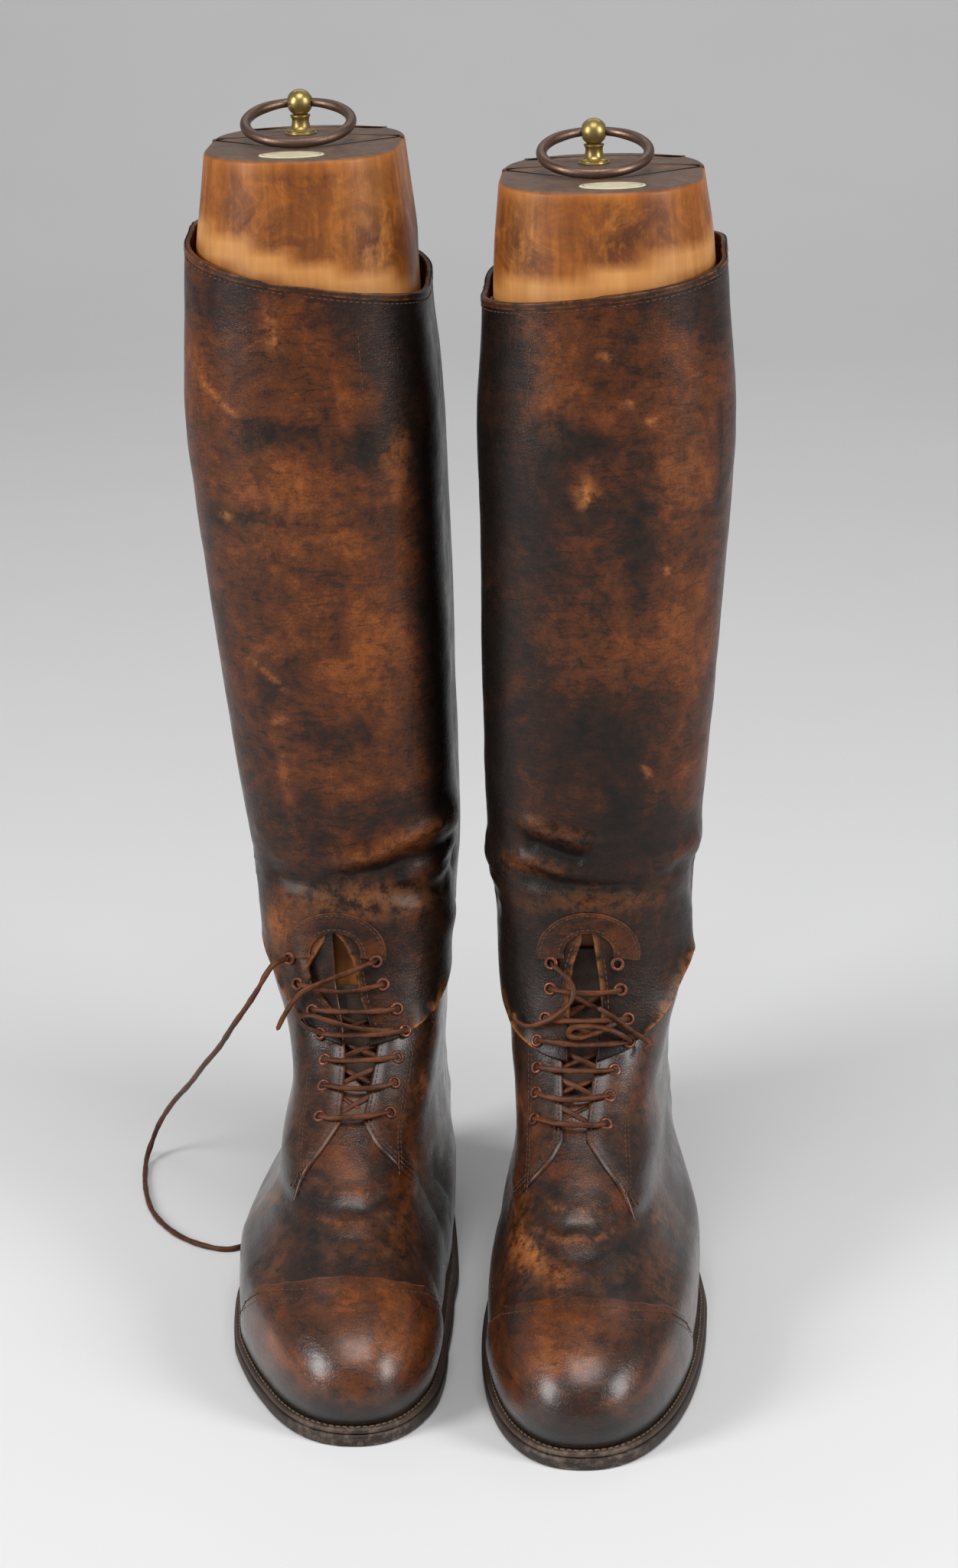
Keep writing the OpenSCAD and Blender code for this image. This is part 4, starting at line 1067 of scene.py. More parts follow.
for side in SIDES:
    leather_piece(
        side + "_vamp_leather", side,
        over_toes(VAMP_HALF, 9.6, VAMP_TOP),
        (270, 110), (150, 84), 0, 2.1, FOOT,
        hide_fields(0.31, 0.17, VAMP_SPOTS[side], VAMP_LINES[side], 101, 0.2), vamp_relief(side),
        [side + "_vamp"])
    leather_piece(
        side + "_toe_cap_leather", side,
        over_toes(CAP_HALF, 9.9, CAP_TOP),
        (220, 75), (120, 60), LAYER2, 4.3, FOOT,
        hide_fields(CAP_TONE[side], 0.2, CAP_SPOTS[side], [], 131, 0.25, 0.24),
        thinned(smooth_relief(0.25, 30, 7), 4.3, 3.6, 5,
                lambda u, z: np.maximum(lookup(np.abs(u), CAP_TOP) - z, 0)),
        [side + "_toe_cap"])
    for sign, word in ((-1, "outer"), (1, "inner")):
        leather_piece(
            "%s_%s_quarter_leather" % (side, word), side, quarter_place(sign),
            (190, 150), (120, 84), LAYER2 + 0.25, 4.4, FOOT,
            hide_fields(0.28, 0.2, [(sign * 0.8, 60, 16, 12, 0.05, 0.35, 0),
                                    (sign * 0.5, 100, 20, 14, 0.04, 0.1, 0.4),
                                    (sign * 1.0, 24, 40, 8, 0.0, 0.3, 0)],
                        # The first line is a sunk crease whose darker tone is painted shade.
                        [(sign * 0.5, 118, sign * 1.1, 104, 4, -0.06, 0, -0.9),
                         (sign * 0.6, 104, sign * 1.0, 92, 4, 0.05, 0.1, 0.9)], 101, 0.15, 0.1, 76),
            quarter_relief(sign),
            ["%s_%s_quarter" % (side, word)])
    leather_piece(
        side + "_tongue_leather", side,
        lambda a, b, top=TONGUE_TOP[side]: (mix(-1, 1, a) * mix(0.42, 0.55, b), mix(92, top, b)),
        (60, 90), (36, 50), -2.9, -1.1, TONGUE,
        hide_fields(0.3, 0.1, [], [], 171), smooth_relief(0.5, 14, 77), [side + "_tongue"])
    leather_piece(
        side + "_backstay_leather", side, back_strip(0.18, SEAT + 2.2, 162), (20, 150), (12, 70),
        LAYER3, LAYER3 + 1.7, STRAP, hide_fields(0.33, 0.12, [], [], 181, 0.4),
        smooth_relief(0.2, 25, 13), [side + "_backstay"])
    leather_piece(
        side + "_leg_strap_leather", side, back_strip(0.14, 180, rim(side, 3) - 9), (20, 300), (12, 150),
        LEG_OUT + 0.25, LEG_OUT + 1.6, STRAP,
        hide_fields(0.33, 0.12, [], [], 191, 0.4), LEG_RELIEF[side], [side + "_leg_strap"], radius=0.6)
    leather_piece(
        side + "_binding_leather", side, binding_place(side),
        (340, 3), (220, 2), LEG_OUT + 0.1, LEG_OUT + 0.5, STRAP,
        hide_fields(0.36, 0.14, [], [], 201, 0.5, 0.0), LEG_RELIEF[side], [side + "_binding"], 0, 0.35)
    cx, cz = TAB[side]

    def tab_place(a, b, cx=cx, cz=cz):
        w = np.radians(mix(192, -12, a))
        r = mix(*TAB_RADII, b)
        z = cz + r * np.sin(w)
        x = cx + r * np.cos(w)
        return u_at(x, z), z

    leather_piece(
        side + "_slit_tab_leather", side, tab_place, (55, 11), (44, 8), LEG_OUT + 0.25, LEG_OUT + 1.1,
        LEG, hide_fields(TAB_TONE[side], 0.16, [], [], 211, 0.2, 0.0),
        LEG_RELIEF[side], [side + "_slit_tab"], radius=0.6)


# ---------------------------------------------------------------- stitching

# The short row near the rim that holds the pull loop
LOOP_ROW = {"right": [(0.3, 437), (0.3, 472)], "left": [(0.37, 437), (0.36, 472)]}

for side in SIDES:
    over_leg = LEG_RELIEF[side]
    spread = np.linspace(-0.71, 0.71, 30)
    foot_rows = []
    for below in (2.2, 4.4):
        foot_rows.append(stitch_row([(u, lookup(abs(u), CAP_TOP) - below) for u in spread], 3.75, 2.7))
    for sign in (-1, 1):
        for back in (2.2, 4.6):
            line = [(sign * (lookup(z, QUARTER_FRONT[sign]) + back / 60) + FRONT_SHIFT, z)
                    for z in np.linspace(73, 124, 30)]
            foot_rows.append(stitch_row(line, 4.15, 2.8))
        for aside in (0, 0.035):
            u = sign * (0.42 + aside) + FRONT_SHIFT
            foot_rows.append(stitch_row([(u, 132), (u, 78)], 4.4, 2.8))
    for aside in (-0.155, 0.155):
        foot_rows.append(stitch_row([(3 + aside, 16), (3 + aside, 90), (3 + aside, 160)],
                                    LAYER3 + 1.75, 3.0))
    stitches(side + "_foot_stitches", side, foot_rows, THREAD, 2.1, 0.36, 0.3)

    turn = np.linspace(0.03, 5.96, 160)
    leg_rows = [stitch_row([(v, rim(side, wrap(v)) - 4.6) for v in turn], LEG_OUT + 0.1, 3.0, over_leg)]
    cx, cz = TAB[side]
    for r in (12.5, 19.8):
        arc = [(cx + r * math.cos(w), cz + r * math.sin(w))
               for w in np.radians(np.linspace(186, -6, 24))]
        leg_rows.append(stitch_row([(u_at(x, z), z) for x, z in arc], LEG_OUT + 1.15, 2.6, over_leg))
    for edge_line, push in ((INNER_EDGE[side], 0.045), (OUTER_EDGE[side], -0.045)):
        line = [(u + push, z) for z, u in edge_line if 118 < z < edge_line[-1][0] - 6]
        leg_rows.append(stitch_row(line, LEG_OUT + 0.1, 2.8, over_leg))
    for aside in (-0.115, 0.115):
        leg_rows.append(stitch_row([(3 + aside, 184), (3 + aside, 330), (3 + aside, rim(side, 3) - 13)],
                                   LEG_OUT + 1.6, 3.2, over_leg))
    leg_rows.append(stitch_row(LOOP_ROW[side], LEG_OUT + 0.1, 3.4, over_leg))
    stitches(side + "_leg_stitches", side, leg_rows, THREAD, 2.1, 0.33, 0.28)


# ---------------------------------------------------------------- eyelets and laces

def spot(side, x, z, d):
    u = u_at(x, z)
    h = LEG_RELIEF[side](np.array([u]), np.array([float(z)]))[0] if d > 6 else 0.0
    return skin(u, z, np.float64(d + h)), normal(u, z)


def over(side, i, x, z, extra):
    """A point above the leather at eyelet row i."""
    d = (LEG_OUT + (1.2 if i == 0 else 0) if i < 4 else 4.5) + extra
    return spot(side, x, z, d)[0]


RING_PROFILE = [(1.75, -1.6), (1.75, 0.55), (2.05, 0.95), (2.55, 1.05), (3.05, 0.85), (3.4, 0.4),
                (3.45, 0.0), (3.1, -0.1), (2.6, -0.1), (2.1, -1.6), (1.75, -1.6)]

for side in SIDES:
    rings, laces = [], []
    for i, (z, inner, outer) in enumerate(ROWS[side]):
        base = (LEG_OUT + (1.2 if i == 0 else 0)) if i < 4 else 4.5
        for x in (inner, outer):
            at, n = spot(side, x, z, base)
            rings.append(lathe(RING_PROFILE, 36, at, n))
        if i == 0:
            continue
        if side == "right" and i == 1:
            continue
        hump = 1.4 + 0.5 * math.sin(3.1 * i + (0 if side == "right" else 2))
        slope = 0.8 * math.sin(2.3 * i)
        path = [over(side, i, outer, z, -2.2), over(side, i, outer + 0.6, z, 0.6)]
        for t in np.linspace(0.12, 0.88, 7):
            sag = -0.9 * math.sin(math.pi * t) * (1.3 if i % 2 else 0.4) + slope * (t - 0.5)
            path.append(over(side, i, mix(outer, inner, t), z + sag,
                             2.1 + hump * math.sin(math.pi * t) * 0.6))
        path += [over(side, i, inner - 0.6, z, 0.6), over(side, i, inner, z, -2.2)]
        laces.append(thong(spline(path, 4), 2.8, 1.8, normal(0.05, z), twist=0.6, seed=i))
        if i < len(ROWS[side]) - 1:
            z2, inner2, outer2 = ROWS[side][i + 1]
            for x0, x1, deep in ((inner - 2, outer2 + 2, 1.3), (outer + 2, inner2 - 2, -0.2),
                                 (outer + 3, inner - 4, 0.5)):
                cross = [skin(u_at(mix(x0, x1, t), mix(z, z2, t)), mix(z, z2, t),
                              np.float64(deep + 1.1 * math.sin(math.pi * t) + 0.5 * math.sin(7 * t + i)))
                         for t in np.linspace(0, 1, 7)]
                laces.append(thong(spline(cross, 3), 2.7, 1.6, normal(0.05, z), twist=0.5, seed=i + 5))
    if side == "right":
        tails = [
            # from the inner top eyelet across the open slit, then down over the outer facing
            [(11, 162, -3, 0), (10, 162, 0.8, 0), (6, 160.5, 3.2, 0), (-1, 157, 4.0, 0),
             (-9, 153, 4.2, 0), (-17, 148, 4.4, 0), (-22, 142, 4.4, 0), (-25.5, 134, 4.6, 0),
             (-27, 126, 5.6, 0)],
            # the second row: from the inner eyelet under the outer facing
            [(13.5, 150, -2.2, 1), (12.7, 150, 0.8, 1), (8, 149, 2.6, 1), (0, 147.5, 3.0, 1),
             (-8, 147.5, 2.9, 1), (-15, 149, 2.6, 1), (-20.5, 150, 1.2, 1), (-22, 150, -2, 1)],
            # a loose loop out of the fourth row's outer eyelet
            [(-15, 127, -2.0, 3), (-16, 127.5, 0.8, 3), (-20, 129.5, 2.6, 3), (-21.5, 133.5, 3.0, 3),
             (-17, 135.5, 3.6, 3), (-9, 132.5, 3.6, 3), (0, 129.5, 3.2, 3), (9, 128, 2.8, 3),
             (17, 127.6, 2.2, 3)]]
    else:
        tails = [
            # the curled tail from the inner top eyelet
            [(16.5, 168, -3, 0), (15.6, 167.6, 0.8, 0), (12.5, 165, 2.8, 0), (9, 161, 3.2, 0),
             (7, 156, 3.6, 0), (7.5, 150, 4.2, 0), (11, 145, 4.6, 0), (16, 140, 4.8, 0),
             (21.5, 136.5, 4.4, 0), (26, 138, 4.0, 0), (28, 142, 3.6, 0)],
            # loops of the loose knot by the outer facing
            [(-16, 141, -2.0, 2), (-15, 141, 0.9, 2), (-10, 139, 3.6, 2), (-4, 135, 4.6, 2),
             (2, 132, 4.8, 2), (7, 133, 4.4, 2), (6, 137, 5.2, 2), (-1, 138, 5.6, 2),
             (-9, 136, 5.0, 2), (-15, 132, 4.0, 2), (-17.5, 130, 0.8, 2), (-17.5, 130, -2, 2)],
            [(-3, 147, 2.6, 2), (-9, 143, 4.4, 2), (-15, 137, 4.4, 2), (-20, 132, 4.2, 2),
             (-22.5, 127.5, 4.2, 2), (-20.5, 124.5, 4.0, 2)]]
    for k, tail in enumerate(tails):
        path = spline([over(side, i, x, z, extra) for x, z, extra, i in tail], 6)
        laces.append(thong(path, 2.7, 1.8, normal(0.0, 145), twist=0.8, seed=k + 20))
    points, faces = joined(rings)
    make(side + "_eyelet_rings", side, points, faces, COPPER,
         replaces=[side + "_eyelets"], sharp=60)
    points, faces = joined(laces)
    make(side + "_laces", side, points, faces, LACE, replaces=[side + "_lace"])

# The free end, on the route that the frame's lace takes
ROUTE = [(-30.6, -56.2, 164.4), (-33.2, -61, 165.3), (-36.5, -65.6, 165), (-40, -69, 161),
         (-44, -69.5, 154), (-51, -63, 142), (-60, -52, 127), (-70, -33, 108), (-82, -10, 88),
         (-94, 17, 66), (-108, 45, 43), (-119, 63, 23), (-125, 68, 9), (-127, 60, 3), (-126, 48, 1.4),
         (-124, 34, 1.4), (-120, 16, 1.4), (-114, -2, 1.4), (-105, -18, 1.4), (-94, -31, 1.4),
         (-81, -40, 1.4), (-70, -43, 1.4), (-62, -38, 1.4), (-58, -27, 1.4), (-56, -14, 1.4),
         (-54, 0, 1.4), (-52, 14, 1.4)]
route = spline(ROUTE, 6)
route[:, 2] = np.maximum(route[:, 2], 1.35)
points, faces = thong(route, 2.6, 2.5, sides=12, seed=3)
free_lace = make("right_free_lace", "right", points, faces, LACE,
                 replaces=["right_lace_end"], straight=True)
line = world("right", route)


# ---------------------------------------------------------------- soles and heels

def sole_outline(u, front, rear, off):
    p = lining(u, SEAT)
    n = normal(u, SEAT + 12)[..., :2]
    n = n / np.linalg.norm(n, axis=-1, keepdims=True)
    d = mix(front, rear, smooth(np.abs(u) - 0.9)) + off
    return p[..., :2] + d[..., None] * n


SOLE_U = np.concatenate([np.linspace(-3, -2, 40, endpoint=False),
                         np.linspace(-2, 2, 230, endpoint=False), np.linspace(2, 3, 41)])[:-1]
# How far the sole stands out at the toes and at the heel
SOLE_FRONT, SOLE_REAR = 8, 3
# Edges of the outsole and the welt: how far out, height
OUTSOLE_EDGE = [(-1.6, 0.0), (-0.7, 0.15), (-0.15, 0.8), (0.0, 1.8), (-0.05, 3.2), (0.0, 4.6),
                (-0.25, 5.4), (-0.9, 5.85)]
WELT_EDGE = [(-6.0, 6.05), (-1.6, 6.1), (-1.1, 6.3), (-0.75, 6.9), (-0.7, 7.7), (-1.0, 8.4),
             (-1.7, 8.75), (-3.0, 8.75), (-4.4, 8.5), (-6.2, 8.9), (-9, 8.9), (-12.4, 8.9),
             (-12.4, 6.05)]
LIFT_HEIGHTS = (6.05, 10.35, 14.65, 18.85)
BREAST_R = 60           # radius of the hollow in the heel's front
ARC_POINTS, BREAST_POINTS = 150, 32


def sole_ring(front, rear, off, z):
    xy = sole_outline(SOLE_U, front, rear, off)
    return np.column_stack([xy, z + heel_rise(xy[:, 1])])


def across(ring, lanes=10):
    """Inner rings that close a sole's face with strips from side to side."""
    return [np.column_stack([ring[:, 0] * (1 - k / lanes) + mid_line(ring[:, 1]) * k / lanes,
                             ring[:, 1], ring[:, 2]]) for k in range(1, lanes)]


def mid_line(y):
    return np.interp(y, [-240, -60, 20], [-3, -3, 0])


def heel_outline(out_by, off, hollow):
    """Round the heel from its front inner corner, then back along the hollow breast."""
    u = np.linspace(-3, 3, 721)
    xy = sole_outline(u, SOLE_FRONT, out_by, off)
    front_y = -8 + hollow
    right = xy[(xy[:, 1] > front_y) & (u > 0)]
    right = right[np.argsort(right[:, 1])]
    left = xy[(xy[:, 1] > front_y) & (u <= 0)]
    left = left[np.argsort(-left[:, 1])]
    arc = np.concatenate([right, left[1:]])
    run = run_along(arc)
    arc = picked(np.linspace(0, run[-1], ARC_POINTS), run, arc)
    x = np.linspace(arc[-1, 0], arc[0, 0], BREAST_POINTS)[1:-1]
    dip = BREAST_R - np.sqrt(np.maximum(BREAST_R ** 2 - x ** 2, 0))
    return np.concatenate([arc, np.column_stack([x, np.maximum(3 - dip, 0) + front_y])])


def heel_form(out_by, rings):
    """A heel's solid through rings of (how far out, how hollow, height)."""
    count = ARC_POINTS + BREAST_POINTS - 2
    return sections([np.column_stack([heel_outline(out_by, off, hollow), np.full(count, z)])
                     for off, hollow, z in rings])


for side in SIDES:
    rings = [sole_ring(SOLE_FRONT, SOLE_REAR, off, z) for off, z in OUTSOLE_EDGE]
    points, faces = sections(across(rings[0])[::-1] + rings + across(rings[-1]))
    rub = np.exp(-((points[:, 1] + 233) / 14) ** 2) * 0.5 + 0.35 * (points[:, 2] < 1.2)
    make(side + "_outsole_leather", side, points, faces, SOLE,
         replaces=[side + "_outsole"], fields={"rub": rub})
    ring = np.array([sole_ring(SOLE_FRONT, SOLE_REAR, off, z) for off, z in WELT_EDGE])
    faces = ring_faces(*ring.shape[:2], closed=True)
    points = ring.reshape(-1, 3)
    rub = np.exp(-((points[:, 1] + 235) / 14) ** 2) * 0.5
    make(side + "_welt_leather_strip", side, points, faces, WELT,
         replaces=[side + "_welt"], fields={"rub": rub})
    around = np.linspace(-1.9, 1.9, 400)
    xy = sole_outline(around, SOLE_FRONT, SOLE_REAR, -2.9)
    p = np.column_stack([xy, 8.85 + heel_rise(xy[:, 1])])
    run = run_along(p)
    at = np.arange(2, run[-1] - 2, 3.1)
    c = picked(at, run, p)
    t = picked(at + 0.3, run, p) - c
    t /= np.linalg.norm(t, axis=1, keepdims=True)
    stitches(side + "_welt_stitches", side, [(c, t, np.tile([0, 0, 1.0], (len(c), 1)))],
             PALE_THREAD, 2.3, 0.4, 0.35)

    lifts = []
    for k, (under, over_it) in enumerate(zip(LIFT_HEIGHTS, LIFT_HEIGHTS[1:])):
        z0, z1 = under + 0.05, over_it - 0.1
        lifts.append(heel_form(2.2 - 0.25 * (3 - k), (
            (-0.7, 0.6, z0), (-0.15, 0.1, z0 + 0.5), (0, 0, z0 + 1.2), (0, 0, z1 - 1.2),
            (-0.15, 0.1, z1 - 0.4), (-0.6, 0.6, z1))))
    points, faces = joined(lifts)
    make(side + "_heel_lifts", side, points, faces, SOLE,
         replaces=[side + "_heel_stack"], fields={"rub": 0.15 + 0 * points[:, 0]}, sharp=50)
    points, faces = heel_form(1.2, ((-1.5, 1.2, 0.0), (-0.6, 0.4, 0.25), (-0.1, 0.1, 1.0),
                                    (0, 0, 2.2), (0, 0, 4.8), (-0.2, 0.2, 5.6), (-0.8, 0.6, 5.9)))
    make(side + "_heel_top_piece", side, points, faces, SOLE,
         replaces=[side + "_top_lift"],
         fields={"rub": 0.2 + 0.6 * (points[:, 2] < 0.6)}, sharp=50)


# ---------------------------------------------------------------- boot trees

WEDGE_Y = (12.3, 41.3)      # the centre board's front and rear face at the top
SHIN_FOOT, BOARD_FOOT = 110, 235
LEAN = 6 / (TOP["right"] - BOARD_FOOT)
SEAM = 0.3                  # between two pieces of a tree, and how far their corners are broken
SHAFT_Z = 505               # height of the outline that limits the sliding pieces
ACROSS = 24                 # points along a cut face
PLATE_X = {"right": -12, "left": -16}
PLATE_Y, PLATE_HALF = -41, (15, 8.5)
RING_POINTS, BAR_POINTS = 160, 24
RING_YAW = {"right": 4.0, "left": -3.0}   # the rings lie slightly askew in their holes


def tree_off(z):
    return mix(-4.4, 2.2, smooth((z - 200) / 90))


def body_outline(z):
    v = np.linspace(0, 6, 361)[:-1]
    return skin(wrap(v), z, np.float64(tree_off(z)) + 0 * v)[:, :2]


def reach(outline, y, sign):
    """x where a convex outline crosses each y, on one side."""
    mid = (outline[:, 0].max() + outline[:, 0].min()) / 2
    half = outline[(outline[:, 0] - mid) * sign >= -1e-6]
    half = half[np.argsort(half[:, 1])]
    return np.interp(y, half[:, 1], half[:, 0])


def tree_ring(z, y0, y1, lean=0.0, count=70):
    """Section of a tree between two planes across it, with slightly broken corners."""
    body = body_outline(z)
    shaft = body_outline(SHAFT_Z) + (0, lean * (z - SHAFT_Z))
    limits = body if y0 is None else shaft
    low = y0 if y0 is not None else body[:, 1].min() + 0.02
    high = y1 if y1 is not None else min(body[:, 1].max(), limits[:, 1].max()) - 0.02
    cut0, cut1 = (0 if y0 is None else SEAM), (0 if y1 is None else SEAM)
    t = np.linspace(0, 1, count)
    if y0 is None:
        y = low + (high - cut1 - low) * (1 - np.cos(t * math.pi / 2))
    elif y1 is None:
        y = low + cut0 + (high - low - cut0) * np.sin(t * math.pi / 2)
    else:
        y = mix(low + cut0, high - cut1, t)
    right = reach(body, y, 1)
    left = reach(body, y, -1)
    if y0 is not None:
        right = np.minimum(right, reach(shaft, y, 1))
        left = np.maximum(left, reach(shaft, y, -1))
    parts = [np.column_stack([right, y])]
    if y1 is not None:
        x = np.linspace(right[-1] - SEAM, left[-1] + SEAM, ACROSS)
        parts.append(np.column_stack([x, np.full(ACROSS, high)]))
    parts.append(np.column_stack([left, y])[::-1])
    if y0 is not None:
        x = np.linspace(left[0] + SEAM, right[0] - SEAM, ACROSS)
        parts.append(np.column_stack([x, np.full(ACROSS, low)]))
    ring = np.concatenate(parts)
    return np.column_stack([ring, np.full(len(ring), z)])


def rim_over(side, x, y):
    return RIM[side][0] - RIM[side][1] * (x + 11) / 50 + RIM_BACK * (y - 3) / 58


def tree_piece(name, side, y_low, y_high, bottom, node, body, lean=0.0):
    top = TOP[side]
    edge_r = 2.4
    heights = list(np.arange(bottom, top - edge_r - 2, 6.0)) + [top - edge_r]
    rings = [tree_ring(z, y_low(z) if y_low else None, y_high(z) if y_high else None, lean)
             for z in heights]
    last = rings[-1]
    for w in np.radians([22, 45, 68, 90]):
        ring = inset(last, edge_r * (1 - math.cos(w)))
        ring[:, 2] = top - edge_r + edge_r * math.sin(w)
        rings.append(ring)
    edge = rings[-1]
    middle = edge.mean(0)
    for k in (0.9, 0.75, 0.5, 0.25):
        ring = middle + (edge - middle) * k
        ring[:, 2] = top
        rings.append(ring)
    points, faces = sections(rings)
    x, y, z = points.T
    gap = z - rim_over(side, x, y)
    face = smooth((z - top + 1.2) / 1.1)
    ragged = 2.0 * noise(points, 30, 401, 2)
    clean_and_highlight = smooth((gap + 4) / 3) * (1 - smooth((gap + ragged - 10) / 3)) * (1 - face)
    # A lighter vertical stripe at x 26 on the front face, added to the clean band, is a painted
    # highlight.
    clean_and_highlight += 0.35 * np.exp(-((x - 26) / 6) ** 2) * (y < 10) * (gap > 8) * (1 - face)
    mid = smooth((gap + ragged - 9) / 7) * (1 - smooth((z - top + 6) / 5))
    broad = 0.55 + 0.6 * noise(points, 34, 411, 3)
    stain = mid * np.clip(broad + 0.35 * np.exp(-((x + 12) / 24) ** 2), 0, 1)
    stain = np.where(gap < 0, 0.25, stain)
    make(name, side, points, faces, WOOD, body, [node],
         {"clean_and_highlight": np.clip(clean_and_highlight, 0, 1), "stain": np.clip(stain, 0, 1), "end": face}, sharp=55)


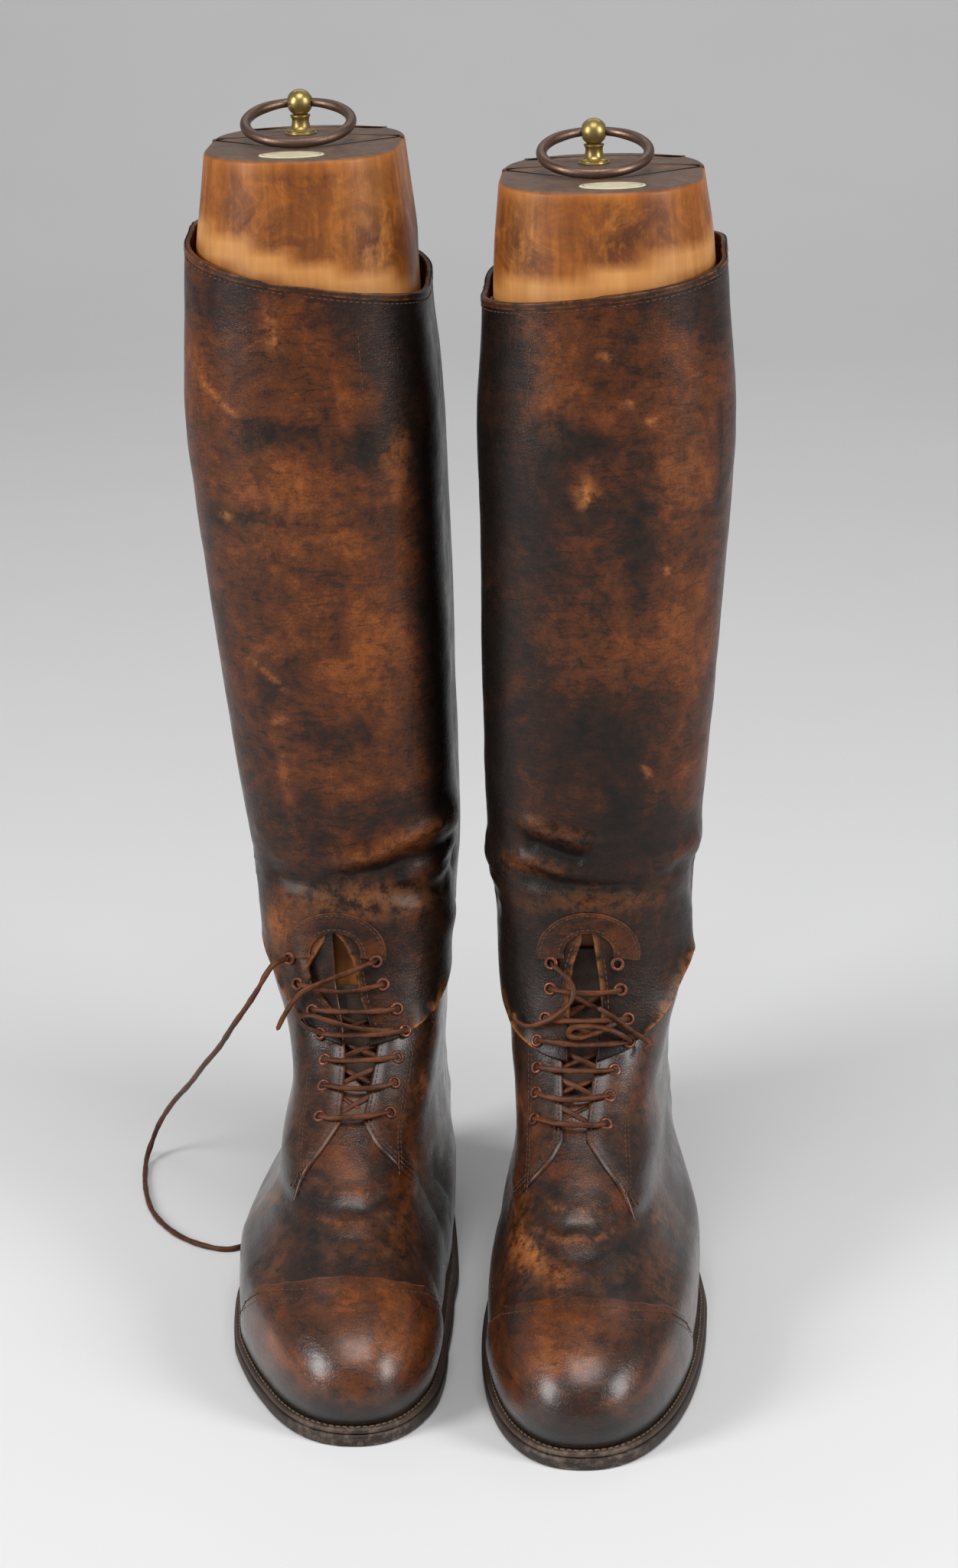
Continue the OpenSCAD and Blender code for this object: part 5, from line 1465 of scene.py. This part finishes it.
for side in SIDES:
    top = TOP[side]
    rear = lambda z, top=top: WEDGE_Y[1] - (top - z) * LEAN
    tree_piece(side + "_tree_shin_wood", side, None, lambda z: WEDGE_Y[0] - SEAM, SHIN_FOOT,
               side + "_tree_shin", side + "_boot")
    tree_piece(side + "_tree_board_wood", side, lambda z: WEDGE_Y[0], rear, BOARD_FOOT,
               side + "_tree_wedge", side + "_board")
    tree_piece(side + "_tree_calf_wood", side, lambda z, rear=rear: rear(z) + SEAM, None, BOARD_FOOT,
               side + "_tree_calf", side + "_calf", LEAN)

    # knob: flange, bead, flared neck, collar and ball, with the hole for the ring cut through
    kx, ky = KNOB_AT[side]
    ball_r, ball_h = 6.2, 14.5
    w = np.radians(np.linspace(-62, 90, 30))
    profile = [(0, 0.05), (7.3, 0.05), (7.5, 0.35), (7.3, 0.85), (6.7, 1.0), (6.6, 1.25), (6.7, 1.6),
               (6.3, 1.95), (5.6, 2.15), (5.0, 2.9), (4.5, 4.0), (4.2, 5.4), (4.2, 6.8), (4.5, 7.7),
               (4.95, 8.2), (4.9, 8.7), (4.2, 8.9)]
    profile = [(r * (0.97 if 2 < z else 1), z) for r, z in profile]
    profile = [p for p in profile if p[1] < ball_h + ball_r * math.sin(w[0])]
    profile += [(ball_r * math.cos(t) if t < math.pi / 2 - 1e-3 else 0.0, ball_h + ball_r * math.sin(t))
                for t in w]
    points, faces = lathe(profile, 64, (kx, ky, top))
    knob = make(side + "_turned_knob", side, points, faces, BRASS, side + "_board",
                [side + "_knob"], sharp=40)
    points, faces = lathe([(2.95, -12), (2.95, 12)], 40, (kx, ky, top + ball_h), (1, 0, 0))
    cutter = bpy.data.meshes.new("cutter")
    cutter.from_pydata(world(side, points).tolist(), [], faces)
    if side == "left":
        cutter.flip_normals()
    cutting = bpy.data.objects.new("cutter", cutter)
    bpy.context.collection.objects.link(cutting)
    cut = knob.modifiers.new("hole", "BOOLEAN")
    cut.operation = "DIFFERENCE"
    cut.object = cutting
    bpy.context.view_layer.update()
    done = bpy.data.meshes.new_from_object(knob.evaluated_get(bpy.context.evaluated_depsgraph_get()))
    knob.modifiers.clear()
    knob.data = done
    bpy.data.objects.remove(cutting)

    # ring: a round bar, a little thicker away from the knob
    ring_r, bar_r, thick_r = 24.6, 2.1, 2.48
    tilt = math.asin((ball_h - thick_r - 0.1) / (2 * ring_r))
    a = np.linspace(0, 2 * math.pi, RING_POINTS, endpoint=False)
    b = np.linspace(0, 2 * math.pi, BAR_POINTS, endpoint=False)
    A, B = np.meshgrid(a, b, indexing="ij")
    from_knob = ring_r * np.abs((A - math.pi / 2 + math.pi) % (2 * math.pi) - math.pi)
    round_it = np.stack([24 * np.cos(A), 24 * np.sin(A), 0 * A], -1)
    lump = mix(bar_r, thick_r, smooth((from_knob - 7) / 12)) + 0.035 * noise(round_it, 8, 5, 2)
    x = (ring_r + lump * np.cos(B)) * np.cos(A)
    y = (ring_r + lump * np.cos(B)) * np.sin(A) - ring_r + 0.4
    z = lump * np.sin(B)
    c, s = math.cos(tilt), math.sin(tilt)
    fore, rise = y * c - z * s, y * s + z * c
    yaw = math.radians(RING_YAW[side])
    points = np.stack([x * math.cos(yaw) - fore * math.sin(yaw) + kx,
                       x * math.sin(yaw) + fore * math.cos(yaw) + ky,
                       rise + top + ball_h], -1).reshape(-1, 3)
    faces = ring_faces(RING_POINTS, BAR_POINTS, closed=True)
    make(side + "_handle_ring", side, points, faces, BRONZE, side + "_ring",
         [side + "_ring"])

    # plate: a blank oval with a fine engraved line inside its edge
    plate_x = PLATE_X[side]
    w = np.linspace(0, 2 * math.pi, 72, endpoint=False)
    points, faces = sections([
        np.column_stack([plate_x + PLATE_HALF[0] * k * np.cos(w),
                         PLATE_Y + PLATE_HALF[1] * k * np.sin(w), top + z + 0 * w])
        for k, z in ((0.985, 0.05), (1.0, 0.3), (0.985, 0.62), (0.955, 0.75), (0.90, 0.75),
                     (0.895, 0.68), (0.875, 0.68), (0.87, 0.75), (0.4, 0.75))])
    plate = make(side + "_oval_plate", side, points, faces, IVORY,
                 replaces=[side + "_label"], sharp=50)
    plate.data.materials.append(INK)
    for f in plate.data.polygons:
        r = [math.hypot((v[0] * 1000 - world(side, (plate_x, 0, 0))[0] * 1000) / PLATE_HALF[0],
                        (v[1] * 1000 - world(side, (0, PLATE_Y, 0))[1] * 1000) / PLATE_HALF[1])
             for v in (plate.data.vertices[i].co for i in f.vertices)]
        if 0.865 < min(r) and max(r) < 0.905:
            f.material_index = 1


# ---------------------------------------------------------------- hidden parts keep their CAD shape

HIDDEN = {"insole": INSOLE, "filler": CORK, "shank": STEEL, "counter": INSOLE, "heel_nails": STEEL,
          "knob_screw": STEEL, "pull_loops": TAPE, "tree_foot": WOOD}
for side in SIDES:
    for word, material in HIDDEN.items():
        node = frame["nodes"].get("%s_%s" % (side, word))
        if node is not None:
            node.data.materials.clear()
            node.data.materials.append(material)


# ---------------------------------------------------------------- floor

# The paper lies flat, then sweeps up behind the boots: from where, to where, how high (m)
SWEEP_FROM, SWEEP_TO, SWEEP_RISE = 2.2, 4.4, 1.6
floor_mesh = bpy.data.meshes.new("floor")
ys = np.concatenate([[-4.0], np.linspace(SWEEP_FROM, SWEEP_TO, 24)])
rise = np.where(ys > SWEEP_FROM, SWEEP_RISE * ((ys - SWEEP_FROM) / SWEEP_FROM) ** 2.2, 0.0)
grid = [(x, y, z) for y, z in zip(ys, rise) for x in np.linspace(-4, 4, 9)]
cells = [(r * 9 + c, r * 9 + c + 1, (r + 1) * 9 + c + 1, (r + 1) * 9 + c)
         for r in range(len(ys) - 1) for c in range(8)]
floor_mesh.from_pydata(grid, [], cells)
floor_mesh.polygons.foreach_set("use_smooth", [True] * len(floor_mesh.polygons))
paper = Shader("paper")
paper.set("Base Color", paper.ramp(paper.noise(2.5, 4), [(0.3, (0.715, 0.715, 0.72)),
                                                         (0.7, (0.74, 0.74, 0.745))]))
paper.set("Roughness", 0.75)
floor_mesh.materials.append(paper.material)
floor = bpy.data.objects.new("floor", floor_mesh)
bpy.context.collection.objects.link(floor)
